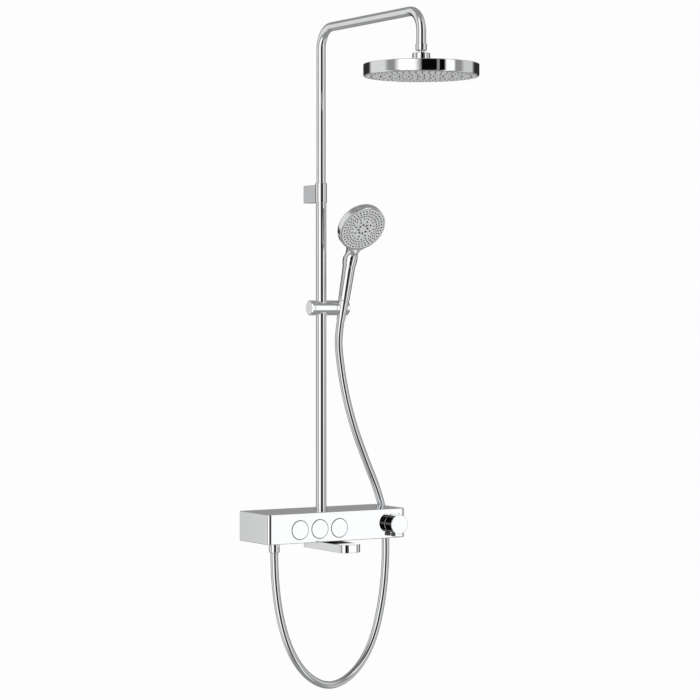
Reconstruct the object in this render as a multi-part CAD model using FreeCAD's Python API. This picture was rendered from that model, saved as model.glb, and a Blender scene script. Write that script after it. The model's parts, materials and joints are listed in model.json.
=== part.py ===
"""Rainfall shower column: a thermostatic shelf mixer with a swivelling spout, a telescopic riser
with an overhead rain head, and a sliding holder that carries a hand shower on a hanging hose.

Millimetres. The origin is the midpoint between the two water inlets, on the wall plane.
X runs along the wall, +Y points into the wall, +Z is up, and Z = 0 is the mixer's mid-height.
"""

import FreeCAD, Part
import math
import os

V = FreeCAD.Vector
UP, RIGHT, INTO_WALL = V(0, 0, 1), V(1, 0, 0), V(0, 1, 0)

# ---- mixer housing ----
HOUSING_X = 167.0            # half length along the wall
HOUSING_Z = 31.0             # half height
HOUSING_FRONT, HOUSING_BACK = -123.0, -3.0
HOUSING_WALL = 2.5
HOUSING_CORNER, HOUSING_EDGE = 8.5, 1.6
BACK_PLATE_THICK = 2.0
PLATE_SCREW_X = (-152.0, -20.0, 20.0, 152.0)

# ---- water inlets, G1/2 at 150 mm centres ----
INLET_X = (-75.0, 75.0)
INLET_THREAD_R, INLET_THREAD_LENGTH = 10.45, 22.0
INLET_BORE_R = 7.0

# ---- brass manifold ----
MANIFOLD_Y, MANIFOLD_R, MANIFOLD_BORE_R = -62.0, 17.0, 11.0
CARTRIDGE_SEAT_Y, CARTRIDGE_MOUTH_Y, CARTRIDGE_FACE_Y = -70.0, -96.0, -101.0

# ---- push buttons ----
BUTTONS = {"left": -91.0, "middle": -43.7, "right": 3.5}
BUTTON_Z, BUTTON_R, BUTTON_GAP = -3.5, 19.25, 0.5
BUTTON_FRONT, BUTTON_DEPTH, BUTTON_SKIN = -124.0, 10.0, 2.5
BUTTON_STEM_R = 3.5
SPRING_R, SPRING_WIRE_HALF, SPRING_TURNS = 6.0, 0.5, 4.0

# ---- temperature knob ----
KNOB_X, KNOB_Z, KNOB_R = 137.0, -1.0, 20.5
KNOB_BACK, KNOB_FRONT = -125.0, -147.0
KNOB_TAB_HALF, KNOB_TAB_DROP = 8.5, 5.5
THERMOSTAT_R, KNOB_STEM_R = 15.0, 4.0
INDEX_X, INDEX_Z, INDEX_R = 150.0, 19.4, 1.1

# ---- spout ----
SPOUT_X, SPOUT_FRONT, SPOUT_BACK = 24.0, -183.0, -21.0
SPOUT_TOP, SPOUT_BOTTOM = -33.5, -50.5
SPOUT_FRONT_CORNER, SPOUT_BACK_CORNER = 16.0, 5.0
SPOUT_STEM_R, SPOUT_STEM_TOP, SPOUT_RUNNING = 10.0, -12.0, 0.06
SPOUT_SOCKET_R, SPOUT_SOCKET_TOP = 15.0, -9.0
AERATOR_Y, AERATOR_R = -165.0, 11.5

# ---- riser, telescopic upper tube and shower arm ----
RISER_Y = -55.0
LOWER_TUBE_R, UPPER_TUBE_R, TUBE_WALL, TUBE_RUNNING = 11.0, 9.5, 1.2, 0.07
BASE_FITTING_R, BASE_FITTING_BOTTOM = 12.0, 14.0
LOWER_TUBE_BOTTOM, LOWER_TUBE_TOP = 18.0, 700.0
UPPER_TUBE_BOTTOM = 456.0
ARM_Z, ARM_REACH, ARM_BEND_R = 1038.7, 382.0, 42.0
HEAD_Y = RISER_Y - ARM_REACH
DROP_TUBE_END = 961.0

# ---- wall bracket ----
COLLAR_R, COLLAR_BOTTOM, COLLAR_TOP = 12.25, 674.0, 716.0
BLOCK_X, BLOCK_BOTTOM, BLOCK_TOP, BLOCK_EDGE = 10.5, 675.0, 712.0, 1.2
ANCHOR_X, ANCHOR_DEPTH, ANCHOR_BOTTOM, ANCHOR_TOP = 7.5, 14.0, 680.0, 707.0
ANCHOR_SCREW_R, ANCHOR_SCREW_Z = 2.75, 695.0

# ---- rain head and its ball joint ----
NECK_R, NECK_BOTTOM, NECK_TOP = 11.25, 957.0, 971.0
BALL_Z, BALL_R, BALL_STEM_R = 944.0, 9.0, 5.5
SEAT_INNER_R, SEAT_OUTER_R, SEAT_CAVITY_R = 9.3, 10.8, 11.1
SEAT_OPENING_R = 8.8
SWIVEL_COLLAR_R, SWIVEL_COLLAR_TOP = 17.5, 953.0
HEAD_R, HEAD_BOTTOM, HEAD_TOP = 114.0, 906.5, 931.0
HEAD_EDGE, HEAD_TOP_EDGE, HEAD_CAVITY_R, HEAD_SKIN = 3.5, 1.5, 110.0, 2.5
SWIVEL_SPIGOT_R, LOCK_NUT_R, LOCK_NUT_THICK = 12.0, 19.0, 5.0
NOZZLE_PLATE_BOTTOM, NOZZLE_PLATE_TOP = 907.2, 910.2

# ---- slider and tilting holder on the riser ----
SLIDER_Z, SLIDER_R = 454.0, 15.75
SLIDER_LEFT, SLIDER_RIGHT, HOLDER_RIGHT = -22.0, 30.0, 63.0
LOCK_KNOB_LEFT = -29.5
BUSH_INNER_R, BUSH_OUTER_R, RISER_HOLE_R = 11.05, 12.5, 12.8
SEAM = 0.3
PIVOT_PIN_R, LOCK_SCREW_R = 4.0, 3.0

# ---- hand shower: cone nut, handle, head ----
GRIP_POINT = V(46.5, -65.5, 454.0)
HANDLE_TILT = 16.3
HANDLE_AXIS = V(0, -math.sin(math.radians(HANDLE_TILT)), math.cos(math.radians(HANDLE_TILT)))
NUT_BOTTOM, NUT_SHOULDER, NUT_TOP = -27.0, 12.0, 17.8
NUT_SMALL_R, NUT_LARGE_R, NUT_COLLAR_R = 8.75, 11.0, 11.25
GRIP_GAP = 0.3
HANDLE_START, HANDLE_START_R, HANDLE_END, HANDLE_END_R = 18.2, 12.0, 118.0, 13.6
SPRAY_CENTRE, SPRAY_ANGLE = V(46.5, -147.0, 617.0), 34.0
SPRAY_NORMAL = V(0, -math.cos(math.radians(SPRAY_ANGLE)), -math.sin(math.radians(SPRAY_ANGLE)))
SPRAY_UP = V(0, -math.sin(math.radians(SPRAY_ANGLE)), math.cos(math.radians(SPRAY_ANGLE)))
SPRAY_R, SPRAY_THICK, SPRAY_BACK_ROUND, SPRAY_RIM_ROUND = 52.0, 21.0, 8.0, 1.2
SPRAY_FACE_R = 48.5

# ---- hose: route of its centre line, from the mixer's outlet to the cone nut ----
HOSE_R = 8.0
HOSE_OUTLET = V(-125.0, -75.0, -31.8)
HOSE_NUT_R, HOSE_NUT_LENGTH = 11.0, 21.2
HOSE_ROUTE = [
    V(-125, -75, -53), V(-125, -75, -100), V(-111, -72, -190), V(-81, -66, -267), V(-33, -56, -323),
    V(30, -43, -350), V(95, -29, -330), V(147, -18, -276), V(177, -12, -192), V(190, -10, -97),
    V(188, -10, -5), V(168.5, -11, 61), V(130, -22, 130), V(92, -33, 205), V(65, -42, 280),
    V(50.5, -46, 350), V(46.5, -47.41, 392.14), V(46.5, -57.92, 428.08),
]
# each piece runs from the middle of one run to the middle of a later one
HOSE_PIECES = {
    "hose_main": (None, 9), "hose_rise": (9, 13), "hose_turn": (13, 14),
    "hose_tilt": (14, 15), "hose_top": (15, None),
}


# ---- helpers ----
def rod(radius, start, end):
    """A solid cylinder between two points."""
    axis = end - start
    return Part.makeCylinder(radius, axis.Length, start, axis)


def taper(start_radius, end_radius, start, end):
    """A solid cone stump between two points."""
    axis = end - start
    return Part.makeCone(start_radius, end_radius, axis.Length, start, axis)


def tube(outer, inner, start, end):
    """A hollow cylinder between two points."""
    return rod(outer, start, end).cut(rod(inner, start, end))


def box(x_range, y_range, z_range):
    """A block between the given limits."""
    (x0, x1), (y0, y1), (z0, z1) = x_range, y_range, z_range
    return Part.makeBox(x1 - x0, y1 - y0, z1 - z0, V(x0, y0, z0))


def hexagon(radius, start, end):
    """A hexagonal prism between two points, with the given corner radius."""
    axis = end - start
    turn = FreeCAD.Rotation(UP, axis)
    corners = [turn.multVec(V(radius, 0, 0)) + start]
    for k in range(1, 7):
        angle = math.radians(60 * k)
        corners.append(turn.multVec(V(radius * math.cos(angle), radius * math.sin(angle), 0)) + start)
    return Part.Face(Part.makePolygon(corners)).extrude(axis)


def edges_along(shape, direction, test):
    """The straight edges of a shape along a direction whose middle passes the test."""
    found = []
    for edge in shape.Edges:
        if not isinstance(edge.Curve, Part.Line):
            continue
        middle = edge.CenterOfMass
        if abs(abs(edge.Curve.Direction * direction) - 1) < 1e-6 and test(middle):
            found.append(edge)
    return found


def edges_on_plane(shape, coordinate, value):
    """The edges that lie in a plane of constant x, y or z."""
    def on_plane(edge):
        box_ = edge.BoundBox
        low, high = getattr(box_, coordinate + "Min"), getattr(box_, coordinate + "Max")
        return abs(low - value) < 0.02 and abs(high - value) < 0.02
    return [edge for edge in shape.Edges if on_plane(edge)]


def edges_centred_on(shape, centre):
    """The round edges of a shape about a centre."""
    return [edge for edge in shape.Edges if (edge.CenterOfMass - centre).Length < 0.1]


def joined(*shapes):
    """One solid fused from several."""
    whole = shapes[0]
    for shape in shapes[1:]:
        whole = whole.fuse(shape)
    return whole.removeSplitter()


def rounded_runs(points, radius=None):
    """Tangent arcs at the inner points: returns (runs, arcs), where runs[i] is the straight
    stretch left between points i and i+1, and arcs[i] is the arc at point i+1."""
    ends = [points[0]]
    arcs = []
    for before, corner, after in zip(points, points[1:], points[2:]):
        back, ahead = before - corner, after - corner
        turn = math.pi - back.getAngle(ahead)
        shorter = min(back.Length, ahead.Length)
        bend = radius or 0.45 * shorter / math.tan(turn / 2)
        reach = bend * math.tan(turn / 2)
        first = corner + back.normalize() * reach
        last = corner + ahead.normalize() * reach
        inward = (back + ahead).normalize()
        middle = corner + inward * (bend / math.cos(turn / 2) - bend)
        ends += [first, last]
        arcs.append((first, middle, last, bend))
    ends.append(points[-1])
    return list(zip(ends[0::2], ends[1::2])), arcs


def sweep(edges, radius):
    """A round bar that follows a path of tangent edges."""
    path = Part.Wire(edges)
    start = edges[0].valueAt(edges[0].FirstParameter)
    tangent = edges[0].tangentAt(edges[0].FirstParameter)
    ring = Part.Wire(Part.makeCircle(radius, start, tangent))
    return path.makePipeShell([ring], True, False)


def hose_piece(first_run, last_run):
    """The hose between the middles of two runs of its route, or its ends where None."""
    runs, arcs = rounded_runs(HOSE_ROUTE)
    first = 0 if first_run is None else first_run
    last = len(runs) - 1 if last_run is None else last_run

    def middle(run):
        return (HOSE_ROUTE[run] + HOSE_ROUTE[run + 1]) * 0.5

    edges = []
    for run in range(first, last + 1):
        start, end = runs[run]
        if run == first and first_run is not None:
            start = middle(run)
        if run == last and last_run is not None:
            end = middle(run)
        edges.append(Part.LineSegment(start, end).toShape())
        if run < last:
            arc_start, arc_middle, arc_end, _ = arcs[run]
            edges.append(Part.Arc(arc_start, arc_middle, arc_end).toShape())
    length = sum(edge.Length for edge in edges)
    solid = sweep(edges, HOSE_R)
    ideal = math.pi * HOSE_R ** 2 * length
    print(f"hose piece {length:.1f} mm, volume {solid.Volume / ideal:.4f} of section x length")
    return solid


def on_riser(z):
    """A point of the riser's axis."""
    return V(0, RISER_Y, z)


# ---- mixer housing and what is fixed in it ----
def mixer_housing():
    """The chromed shell: open at the back, with the holes for all that comes out of it."""
    shell = box((-HOUSING_X, HOUSING_X), (HOUSING_FRONT, HOUSING_BACK), (-HOUSING_Z, HOUSING_Z))
    shell = shell.makeFillet(HOUSING_CORNER, edges_along(shell, UP, lambda m: m.y < HOUSING_FRONT + 1))
    lengthwise = edges_on_plane(shell, "Z", HOUSING_Z) + edges_on_plane(shell, "Z", -HOUSING_Z)
    lengthwise = [edge for edge in lengthwise if edge.CenterOfMass.y < HOUSING_BACK - 1]
    shell = shell.makeFillet(HOUSING_EDGE, lengthwise)
    wall = HOUSING_WALL
    inside = box((-HOUSING_X + wall, HOUSING_X - wall), (HOUSING_FRONT + wall, HOUSING_BACK + 1),
                 (-HOUSING_Z + wall, HOUSING_Z - wall))
    corners = edges_along(inside, UP, lambda m: m.y < HOUSING_FRONT + wall + 1)
    shell = shell.cut(inside.makeFillet(HOUSING_CORNER - wall, corners))
    front, inner = V(0, HOUSING_FRONT - 1, 0), V(0, HOUSING_FRONT + wall + 1, 0)
    for x in BUTTONS.values():
        place = V(x, 0, BUTTON_Z)
        shell = shell.cut(rod(BUTTON_R + BUTTON_GAP, front + place, inner + place))
    place = V(KNOB_X, 0, KNOB_Z)
    shell = shell.cut(rod(12.0, front + place, inner + place))
    place = V(INDEX_X, 0, INDEX_Z)
    shell = shell.cut(rod(INDEX_R, front + place, V(0, HOUSING_FRONT + 1.2, 0) + place))
    shell = shell.cut(rod(BASE_FITTING_R + 0.4, on_riser(20), on_riser(40)))
    shell = shell.cut(rod(SPOUT_SOCKET_R + 1, on_riser(-40), on_riser(-20)))
    return shell.cut(rod(12.0, HOSE_OUTLET - UP * 10, HOSE_OUTLET + UP * 10))


def index_mark():
    place = V(INDEX_X, 0, INDEX_Z)
    return rod(INDEX_R, V(0, HOUSING_FRONT, 0) + place, V(0, HOUSING_FRONT + 1.2, 0) + place)


def back_plate():
    inset = HOUSING_WALL + 0.2
    back = HOUSING_BACK - 0.5
    plate = box((-HOUSING_X + inset, HOUSING_X - inset), (back - BACK_PLATE_THICK, back),
                (-HOUSING_Z + inset, HOUSING_Z - inset))
    for x in INLET_X:
        plate = plate.cut(rod(15.5, V(x, -20, 0), V(x, 5, 0)))
    for x in PLATE_SCREW_X:
        plate = plate.cut(rod(2.0, V(x, -20, 22), V(x, 5, 22)))
    return plate


def plate_screws():
    screws = []
    for x in PLATE_SCREW_X:
        shank = rod(2.0, V(x, -14, 22), V(x, -3.5, 22))
        screws.append(joined(shank, rod(3.6, V(x, -3.5, 22), V(x, -1.5, 22))))
    return Part.makeCompound(screws)


def inlet_unions():
    unions = []
    for x in INLET_X:
        thread = rod(INLET_THREAD_R, V(x, -2, 0), V(x, INLET_THREAD_LENGTH, 0))
        collar = hexagon(14.0, V(x, -10, 0), V(x, -2, 0))
        tail = rod(12.0, V(x, -21.5, 0), V(x, -10, 0))
        unions.append(joined(thread, collar, tail).cut(rod(INLET_BORE_R, V(x, -25, 0), V(x, 30, 0))))
    return Part.makeCompound(unions)


def union_nuts():
    nuts = []
    for x in INLET_X:
        nut = hexagon(18.0, V(x, -26, 0), V(x, -11, 0))
        nut = nut.cut(rod(12.0, V(x, -23.5, 0), V(x, 0, 0))).cut(rod(9.6, V(x, -30, 0), V(x, 0, 0)))
        nuts.append(nut)
    return Part.makeCompound(nuts)


def valve_manifold():
    y = MANIFOLD_Y
    body = rod(MANIFOLD_R, V(-127, y, 0), V(KNOB_X, y, 0))
    for x in INLET_X:
        body = body.fuse(rod(9.5, V(x, y, 0), V(x, -21.5, 0)))
        body = body.fuse(rod(11.8, V(x, -23.5, 0), V(x, -21.5, 0)))
    for x in BUTTONS.values():
        body = body.fuse(rod(14.5, V(x, y, BUTTON_Z), V(x, CARTRIDGE_MOUTH_Y, BUTTON_Z)))
    body = body.fuse(rod(19.0, V(KNOB_X, -45, KNOB_Z), V(KNOB_X, CARTRIDGE_MOUTH_Y, KNOB_Z)))
    body = body.fuse(rod(15.5, on_riser(0), on_riser(27)))
    body = body.fuse(rod(18.0, on_riser(0), on_riser(-27)))
    outlet = V(HOSE_OUTLET.x, HOSE_OUTLET.y, 0)
    body = body.fuse(rod(13.0, outlet, outlet - UP * 26))
    body = body.cut(rod(MANIFOLD_BORE_R, V(-120, y, 0), V(115, y, 0)))
    for x in INLET_X:
        body = body.cut(rod(6.5, V(x, y, 0), V(x, -10, 0)))
    for x in BUTTONS.values():
        body = body.cut(rod(11.0, V(x, CARTRIDGE_SEAT_Y, BUTTON_Z), V(x, -110, BUTTON_Z)))
        body = body.cut(rod(5.0, V(x, y, BUTTON_Z), V(x, -110, BUTTON_Z)))
    body = body.cut(rod(THERMOSTAT_R, V(KNOB_X, -58, KNOB_Z), V(KNOB_X, -110, KNOB_Z)))
    body = body.cut(rod(BASE_FITTING_R, on_riser(BASE_FITTING_BOTTOM), on_riser(30)))
    body = body.cut(rod(8.0, on_riser(0), on_riser(30)))
    body = body.cut(rod(SPOUT_SOCKET_R, on_riser(SPOUT_SOCKET_TOP), on_riser(-30)))
    body = body.cut(rod(7.0, on_riser(-30), on_riser(0)))
    body = body.cut(rod(9.0, outlet - UP * 30, outlet - UP * 14))
    body = body.cut(rod(5.0, outlet - UP * 30, outlet))
    return body.removeSplitter()


def flow_cartridges():
    cartridges = []
    for x in BUTTONS.values():
        z = BUTTON_Z
        body = joined(rod(11.0, V(x, CARTRIDGE_SEAT_Y, z), V(x, -97, z)),
                      hexagon(13.0, V(x, -97, z), V(x, CARTRIDGE_FACE_Y, z)))
        cartridges.append(body.cut(rod(BUTTON_STEM_R + 0.08, V(x, -84, z), V(x, -110, z))))
    return Part.makeCompound(cartridges)


def thermostat_cartridge():
    x, z = KNOB_X, KNOB_Z
    body = joined(rod(THERMOSTAT_R, V(x, -58, z), V(x, -97, z)), hexagon(17.0, V(x, -97, z), V(x, -103, z)),
                  rod(10.0, V(x, -103, z), V(x, -120, z)))
    return body.cut(rod(KNOB_STEM_R + 0.08, V(x, -104, z), V(x, -125, z)))


def temperature_stop_ring():
    x, z = KNOB_X, KNOB_Z
    ring = tube(18.5, 10.3, V(x, HOUSING_FRONT - 1.5, z), V(x, HOUSING_FRONT, z))
    return joined(ring, tube(11.8, 10.3, V(x, HOUSING_FRONT, z), V(x, HOUSING_FRONT + 3, z)))


def hose_outlet_fitting():
    at = V(HOSE_OUTLET.x, HOSE_OUTLET.y, 0)
    body = joined(rod(9.0, at - UP * 14, at - UP * 28), rod(11.5, at - UP * 26, at - UP * 31.5),
                  rod(9.3, at - UP * 31.5, at - UP * 46))
    return body.cut(rod(5.0, at, at - UP * 50))


def lower_hose_nut():
    top, bottom = HOSE_OUTLET, HOSE_OUTLET - UP * HOSE_NUT_LENGTH
    nut = rod(HOSE_NUT_R, bottom, top)
    nut = nut.makeChamfer(1.6, edges_on_plane(nut, "Z", bottom.z))
    return nut.cut(rod(9.35, top - UP * 14.6, top)).cut(rod(6.0, bottom, top))


# ---- push buttons ----
def push_button(x):
    z = BUTTON_Z
    cap = rod(BUTTON_R, V(x, BUTTON_FRONT, z), V(x, BUTTON_FRONT + BUTTON_DEPTH, z))
    cap = cap.makeFillet(0.6, edges_on_plane(cap, "Y", BUTTON_FRONT))
    cap = cap.cut(rod(BUTTON_R - 2, V(x, BUTTON_FRONT + BUTTON_SKIN, z), V(x, BUTTON_FRONT + 20, z)))
    return joined(cap, rod(BUTTON_STEM_R, V(x, BUTTON_FRONT + BUTTON_SKIN, z), V(x, -96, z)))


def button_springs():
    """Springs of square wire between the buttons' inner faces and the cartridges."""
    half = SPRING_WIRE_HALF
    inner_face = BUTTON_FRONT + BUTTON_SKIN
    length = abs(inner_face - CARTRIDGE_FACE_Y) - 2 * half - 0.2
    corners = [(-half, -half), (half, -half), (half, half), (-half, half), (-half, -half)]
    section = Part.makePolygon([V(SPRING_R + across, 0, along) for across, along in corners])
    springs = []
    for x in BUTTONS.values():
        helix = Part.makeHelix(length / SPRING_TURNS, length, SPRING_R)
        spring = Part.Wire(helix.Edges).makePipeShell([section], True, False)
        foot = V(x, CARTRIDGE_FACE_Y - half - 0.1, BUTTON_Z)
        spring.Placement = FreeCAD.Placement(foot, FreeCAD.Rotation(UP, V(0, -1, 0)))
        springs.append(spring)
    return Part.makeCompound(springs)


# ---- temperature knob ----
def knob_tab_block():
    drop = KNOB_Z - KNOB_R - KNOB_TAB_DROP
    block = box((KNOB_X - KNOB_TAB_HALF, KNOB_X + KNOB_TAB_HALF), (KNOB_FRONT + 3, KNOB_BACK - 3),
                (drop, KNOB_Z - 17.5))
    return block.makeFillet(1.5, edges_on_plane(block, "Z", drop))


def temperature_knob():
    x, z = KNOB_X, KNOB_Z
    cap = rod(KNOB_R, V(x, KNOB_BACK, z), V(x, KNOB_FRONT, z))
    cap = cap.makeFillet(1.0, edges_on_plane(cap, "Y", KNOB_FRONT))
    cap = cap.makeFillet(0.5, edges_on_plane(cap, "Y", KNOB_BACK))
    cap = cap.cut(rod(16.5, V(x, KNOB_BACK + 1, z), V(x, KNOB_FRONT + 4, z)))
    cap = joined(cap, rod(7.0, V(x, KNOB_BACK - 1, z), V(x, KNOB_FRONT + 4, z)))
    cap = cap.cut(rod(KNOB_STEM_R, V(x, KNOB_BACK + 1, z), V(x, KNOB_FRONT + 6, z)))
    return cap.cut(knob_tab_block())


def knob_stem():
    return rod(KNOB_STEM_R, V(KNOB_X, -106, KNOB_Z), V(KNOB_X, KNOB_FRONT + 6, KNOB_Z))


# ---- spout ----
def spout_socket():
    bore = SPOUT_STEM_R + SPOUT_RUNNING
    return tube(SPOUT_SOCKET_R, bore, on_riser(SPOUT_SOCKET_TOP), on_riser(-31.3))


def spout_washer():
    return tube(17.5, SPOUT_STEM_R + 0.3, on_riser(SPOUT_TOP + 0.3), on_riser(-31.3))


def spout_bar():
    bar = box((-SPOUT_X, SPOUT_X), (SPOUT_FRONT, SPOUT_BACK), (SPOUT_BOTTOM, SPOUT_TOP))
    bar = bar.makeFillet(SPOUT_FRONT_CORNER, edges_along(bar, UP, lambda m: m.y < SPOUT_FRONT + 1))
    bar = bar.makeFillet(SPOUT_BACK_CORNER, edges_along(bar, UP, lambda m: m.y > SPOUT_BACK - 1))
    bar = bar.makeFillet(1.0, edges_on_plane(bar, "Z", SPOUT_TOP) + edges_on_plane(bar, "Z", SPOUT_BOTTOM))
    bar = bar.cut(box((-15, 15), (-172, -47), (-46.5, -37.5)))
    bar = bar.cut(rod(SPOUT_STEM_R, V(0, RISER_Y, -42), V(0, RISER_Y, SPOUT_TOP)))
    return bar.cut(rod(AERATOR_R, V(0, AERATOR_Y, SPOUT_BOTTOM), V(0, AERATOR_Y, -42)))


def spout_stem():
    stem = tube(SPOUT_STEM_R, 6.8, V(0, RISER_Y, -40), V(0, RISER_Y, SPOUT_STEM_TOP))
    for z in (-17.0, -22.0):
        stem = stem.cut(tube(12.0, 8.0, V(0, RISER_Y, z - 1.1), V(0, RISER_Y, z + 1.1)))
    return stem


def spout_o_rings():
    rings = [Part.makeTorus(9.03, 1.0, V(0, RISER_Y, z), UP) for z in (-17.0, -22.0)]
    return Part.makeCompound(rings)


def aerator_ring():
    return tube(AERATOR_R, 9.0, V(0, AERATOR_Y, SPOUT_BOTTOM + 0.2), V(0, AERATOR_Y, -43))


def aerator_insert():
    disc = rod(9.0, V(0, AERATOR_Y, SPOUT_BOTTOM + 1.4), V(0, AERATOR_Y, -43))
    for ring, count in ((3.0, 6), (6.0, 12)):
        for k in range(count):
            angle = 2 * math.pi * k / count
            at = V(ring * math.cos(angle), AERATOR_Y + ring * math.sin(angle), 0)
            disc = disc.cut(rod(0.9, at + UP * -60, at + UP * -40))
    return disc


# ---- riser and wall bracket ----
def riser_base_fitting():
    body = tube(BASE_FITTING_R, 8.0, on_riser(BASE_FITTING_BOTTOM), on_riser(HOUSING_Z))
    return body.cut(rod(LOWER_TUBE_R, on_riser(LOWER_TUBE_BOTTOM), on_riser(40)))


def riser_lower_tube():
    inner = LOWER_TUBE_R - TUBE_WALL
    return tube(LOWER_TUBE_R, inner, on_riser(LOWER_TUBE_BOTTOM), on_riser(LOWER_TUBE_TOP))


def bracket_collar():
    collar = rod(COLLAR_R, on_riser(COLLAR_BOTTOM), on_riser(COLLAR_TOP))
    rims = edges_on_plane(collar, "Z", COLLAR_TOP) + edges_on_plane(collar, "Z", COLLAR_BOTTOM)
    collar = collar.makeChamfer(0.6, rims)
    return collar.cut(rod(LOWER_TUBE_R, on_riser(COLLAR_BOTTOM - 1), on_riser(COLLAR_TOP + 1)))


def riser_gland():
    inner = UPPER_TUBE_R + TUBE_RUNNING
    return tube(LOWER_TUBE_R, inner, on_riser(LOWER_TUBE_TOP), on_riser(COLLAR_TOP - 0.4))


def bracket_block():
    block = box((-BLOCK_X, BLOCK_X), (RISER_Y, 0), (BLOCK_BOTTOM, BLOCK_TOP))
    long_edges = edges_along(block, INTO_WALL, lambda m: True)
    block = block.makeFillet(BLOCK_EDGE, long_edges)
    block = block.cut(rod(COLLAR_R, on_riser(BLOCK_BOTTOM - 5), on_riser(BLOCK_TOP + 5)))
    block = block.cut(box((-ANCHOR_X, ANCHOR_X), (-ANCHOR_DEPTH - 6, 1), (ANCHOR_BOTTOM, ANCHOR_TOP)))
    return block.cut(rod(2.0, V(0, -7, BLOCK_BOTTOM - 1), V(0, -7, ANCHOR_BOTTOM + 1)))


def bracket_anchor():
    anchor = box((-ANCHOR_X, ANCHOR_X), (-ANCHOR_DEPTH, 0), (ANCHOR_BOTTOM, ANCHOR_TOP))
    anchor = anchor.cut(rod(ANCHOR_SCREW_R, V(0, -30, ANCHOR_SCREW_Z), V(0, 5, ANCHOR_SCREW_Z)))
    return anchor.cut(rod(2.0, V(0, -7, ANCHOR_BOTTOM - 1), V(0, -7, ANCHOR_BOTTOM + 6)))


def bracket_set_screw():
    screw = rod(2.0, V(0, -7, BLOCK_BOTTOM + 0.4), V(0, -7, ANCHOR_BOTTOM + 6))
    return screw.cut(hexagon(1.1, V(0, -7, BLOCK_BOTTOM), V(0, -7, BLOCK_BOTTOM + 3)))


# ---- telescopic upper tube and shower arm ----
def riser_guide_bush():
    """The bush at the bottom of the upper tube that runs in the lower tube's bore."""
    seat = rod(LOWER_TUBE_R - TUBE_WALL - 0.06, on_riser(440), on_riser(UPPER_TUBE_BOTTOM - 0.3))
    spigot = rod(UPPER_TUBE_R - TUBE_WALL - 0.1, on_riser(440), on_riser(470))
    return joined(seat, spigot).cut(rod(6.0, on_riser(430), on_riser(480)))


def riser_upper_tube():
    corners = [on_riser(UPPER_TUBE_BOTTOM), on_riser(ARM_Z), V(0, HEAD_Y, ARM_Z), V(0, HEAD_Y, DROP_TUBE_END)]
    runs, arcs = rounded_runs(corners, ARM_BEND_R)
    edges = []
    for k, (start, end) in enumerate(runs):
        edges.append(Part.LineSegment(start, end).toShape())
        if k < len(arcs):
            edges.append(Part.Arc(*arcs[k][:3]).toShape())
    return sweep(edges, UPPER_TUBE_R).cut(sweep(edges, UPPER_TUBE_R - TUBE_WALL))


def neck_nut():
    nut = rod(NECK_R, V(0, HEAD_Y, NECK_BOTTOM), V(0, HEAD_Y, NECK_TOP))
    nut = nut.makeFillet(3.0, edges_on_plane(nut, "Z", NECK_BOTTOM))
    nut = nut.makeFillet(0.6, edges_on_plane(nut, "Z", NECK_TOP))
    nut = nut.cut(rod(UPPER_TUBE_R, V(0, HEAD_Y, DROP_TUBE_END), V(0, HEAD_Y, NECK_TOP + 1)))
    return nut.cut(rod(BALL_STEM_R, V(0, HEAD_Y, NECK_BOTTOM - 1), V(0, HEAD_Y, DROP_TUBE_END + 1)))


def swivel_ball():
    centre = V(0, HEAD_Y, BALL_Z)
    ball = Part.makeSphere(BALL_R, centre)
    stem = rod(BALL_STEM_R, centre, V(0, HEAD_Y, DROP_TUBE_END))
    return joined(ball, stem).cut(rod(3.5, centre - UP * 20, V(0, HEAD_Y, DROP_TUBE_END + 5)))


def ball_seat(low, high):
    """A ring of the hollow sphere around the ball, between two heights from its centre."""
    centre = V(0, HEAD_Y, BALL_Z)
    shell = Part.makeSphere(SEAT_OUTER_R, centre).cut(Part.makeSphere(SEAT_INNER_R, centre))
    slab = box((-20, 20), (HEAD_Y - 20, HEAD_Y + 20), (BALL_Z + low, BALL_Z + high))
    return shell.common(slab)


def swivel_collar():
    base, top = V(0, HEAD_Y, HEAD_TOP), V(0, HEAD_Y, SWIVEL_COLLAR_TOP)
    collar = rod(SWIVEL_COLLAR_R, base, top)
    collar = collar.makeFillet(1.2, edges_on_plane(collar, "Z", SWIVEL_COLLAR_TOP))
    collar = joined(collar, rod(SWIVEL_SPIGOT_R, base - UP * 9, base))
    collar = collar.cut(Part.makeSphere(SEAT_CAVITY_R, V(0, HEAD_Y, BALL_Z)))
    collar = collar.cut(rod(SEAT_OPENING_R, V(0, HEAD_Y, BALL_Z), top + UP))
    return collar.cut(rod(6.0, base - UP * 12, V(0, HEAD_Y, BALL_Z)))


def collar_lock_nut():
    top = HEAD_TOP - HEAD_SKIN
    nut = hexagon(LOCK_NUT_R, V(0, HEAD_Y, top - LOCK_NUT_THICK), V(0, HEAD_Y, top))
    return nut.cut(rod(SWIVEL_SPIGOT_R, V(0, HEAD_Y, top - LOCK_NUT_THICK - 1), V(0, HEAD_Y, top + 1)))


def rain_head_shell():
    shell = rod(HEAD_R, V(0, HEAD_Y, HEAD_BOTTOM), V(0, HEAD_Y, HEAD_TOP))
    shell = shell.makeFillet(HEAD_EDGE, edges_on_plane(shell, "Z", HEAD_BOTTOM))
    shell = shell.makeFillet(HEAD_TOP_EDGE, edges_on_plane(shell, "Z", HEAD_TOP))
    shell = shell.cut(rod(HEAD_CAVITY_R, V(0, HEAD_Y, HEAD_BOTTOM - 1), V(0, HEAD_Y, HEAD_TOP - HEAD_SKIN)))
    return shell.cut(rod(SWIVEL_SPIGOT_R, V(0, HEAD_Y, HEAD_BOTTOM), V(0, HEAD_Y, HEAD_TOP + 1)))


def rain_nozzle_plate():
    return rod(HEAD_CAVITY_R - 0.1, V(0, HEAD_Y, NOZZLE_PLATE_BOTTOM), V(0, HEAD_Y, NOZZLE_PLATE_TOP))


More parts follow.
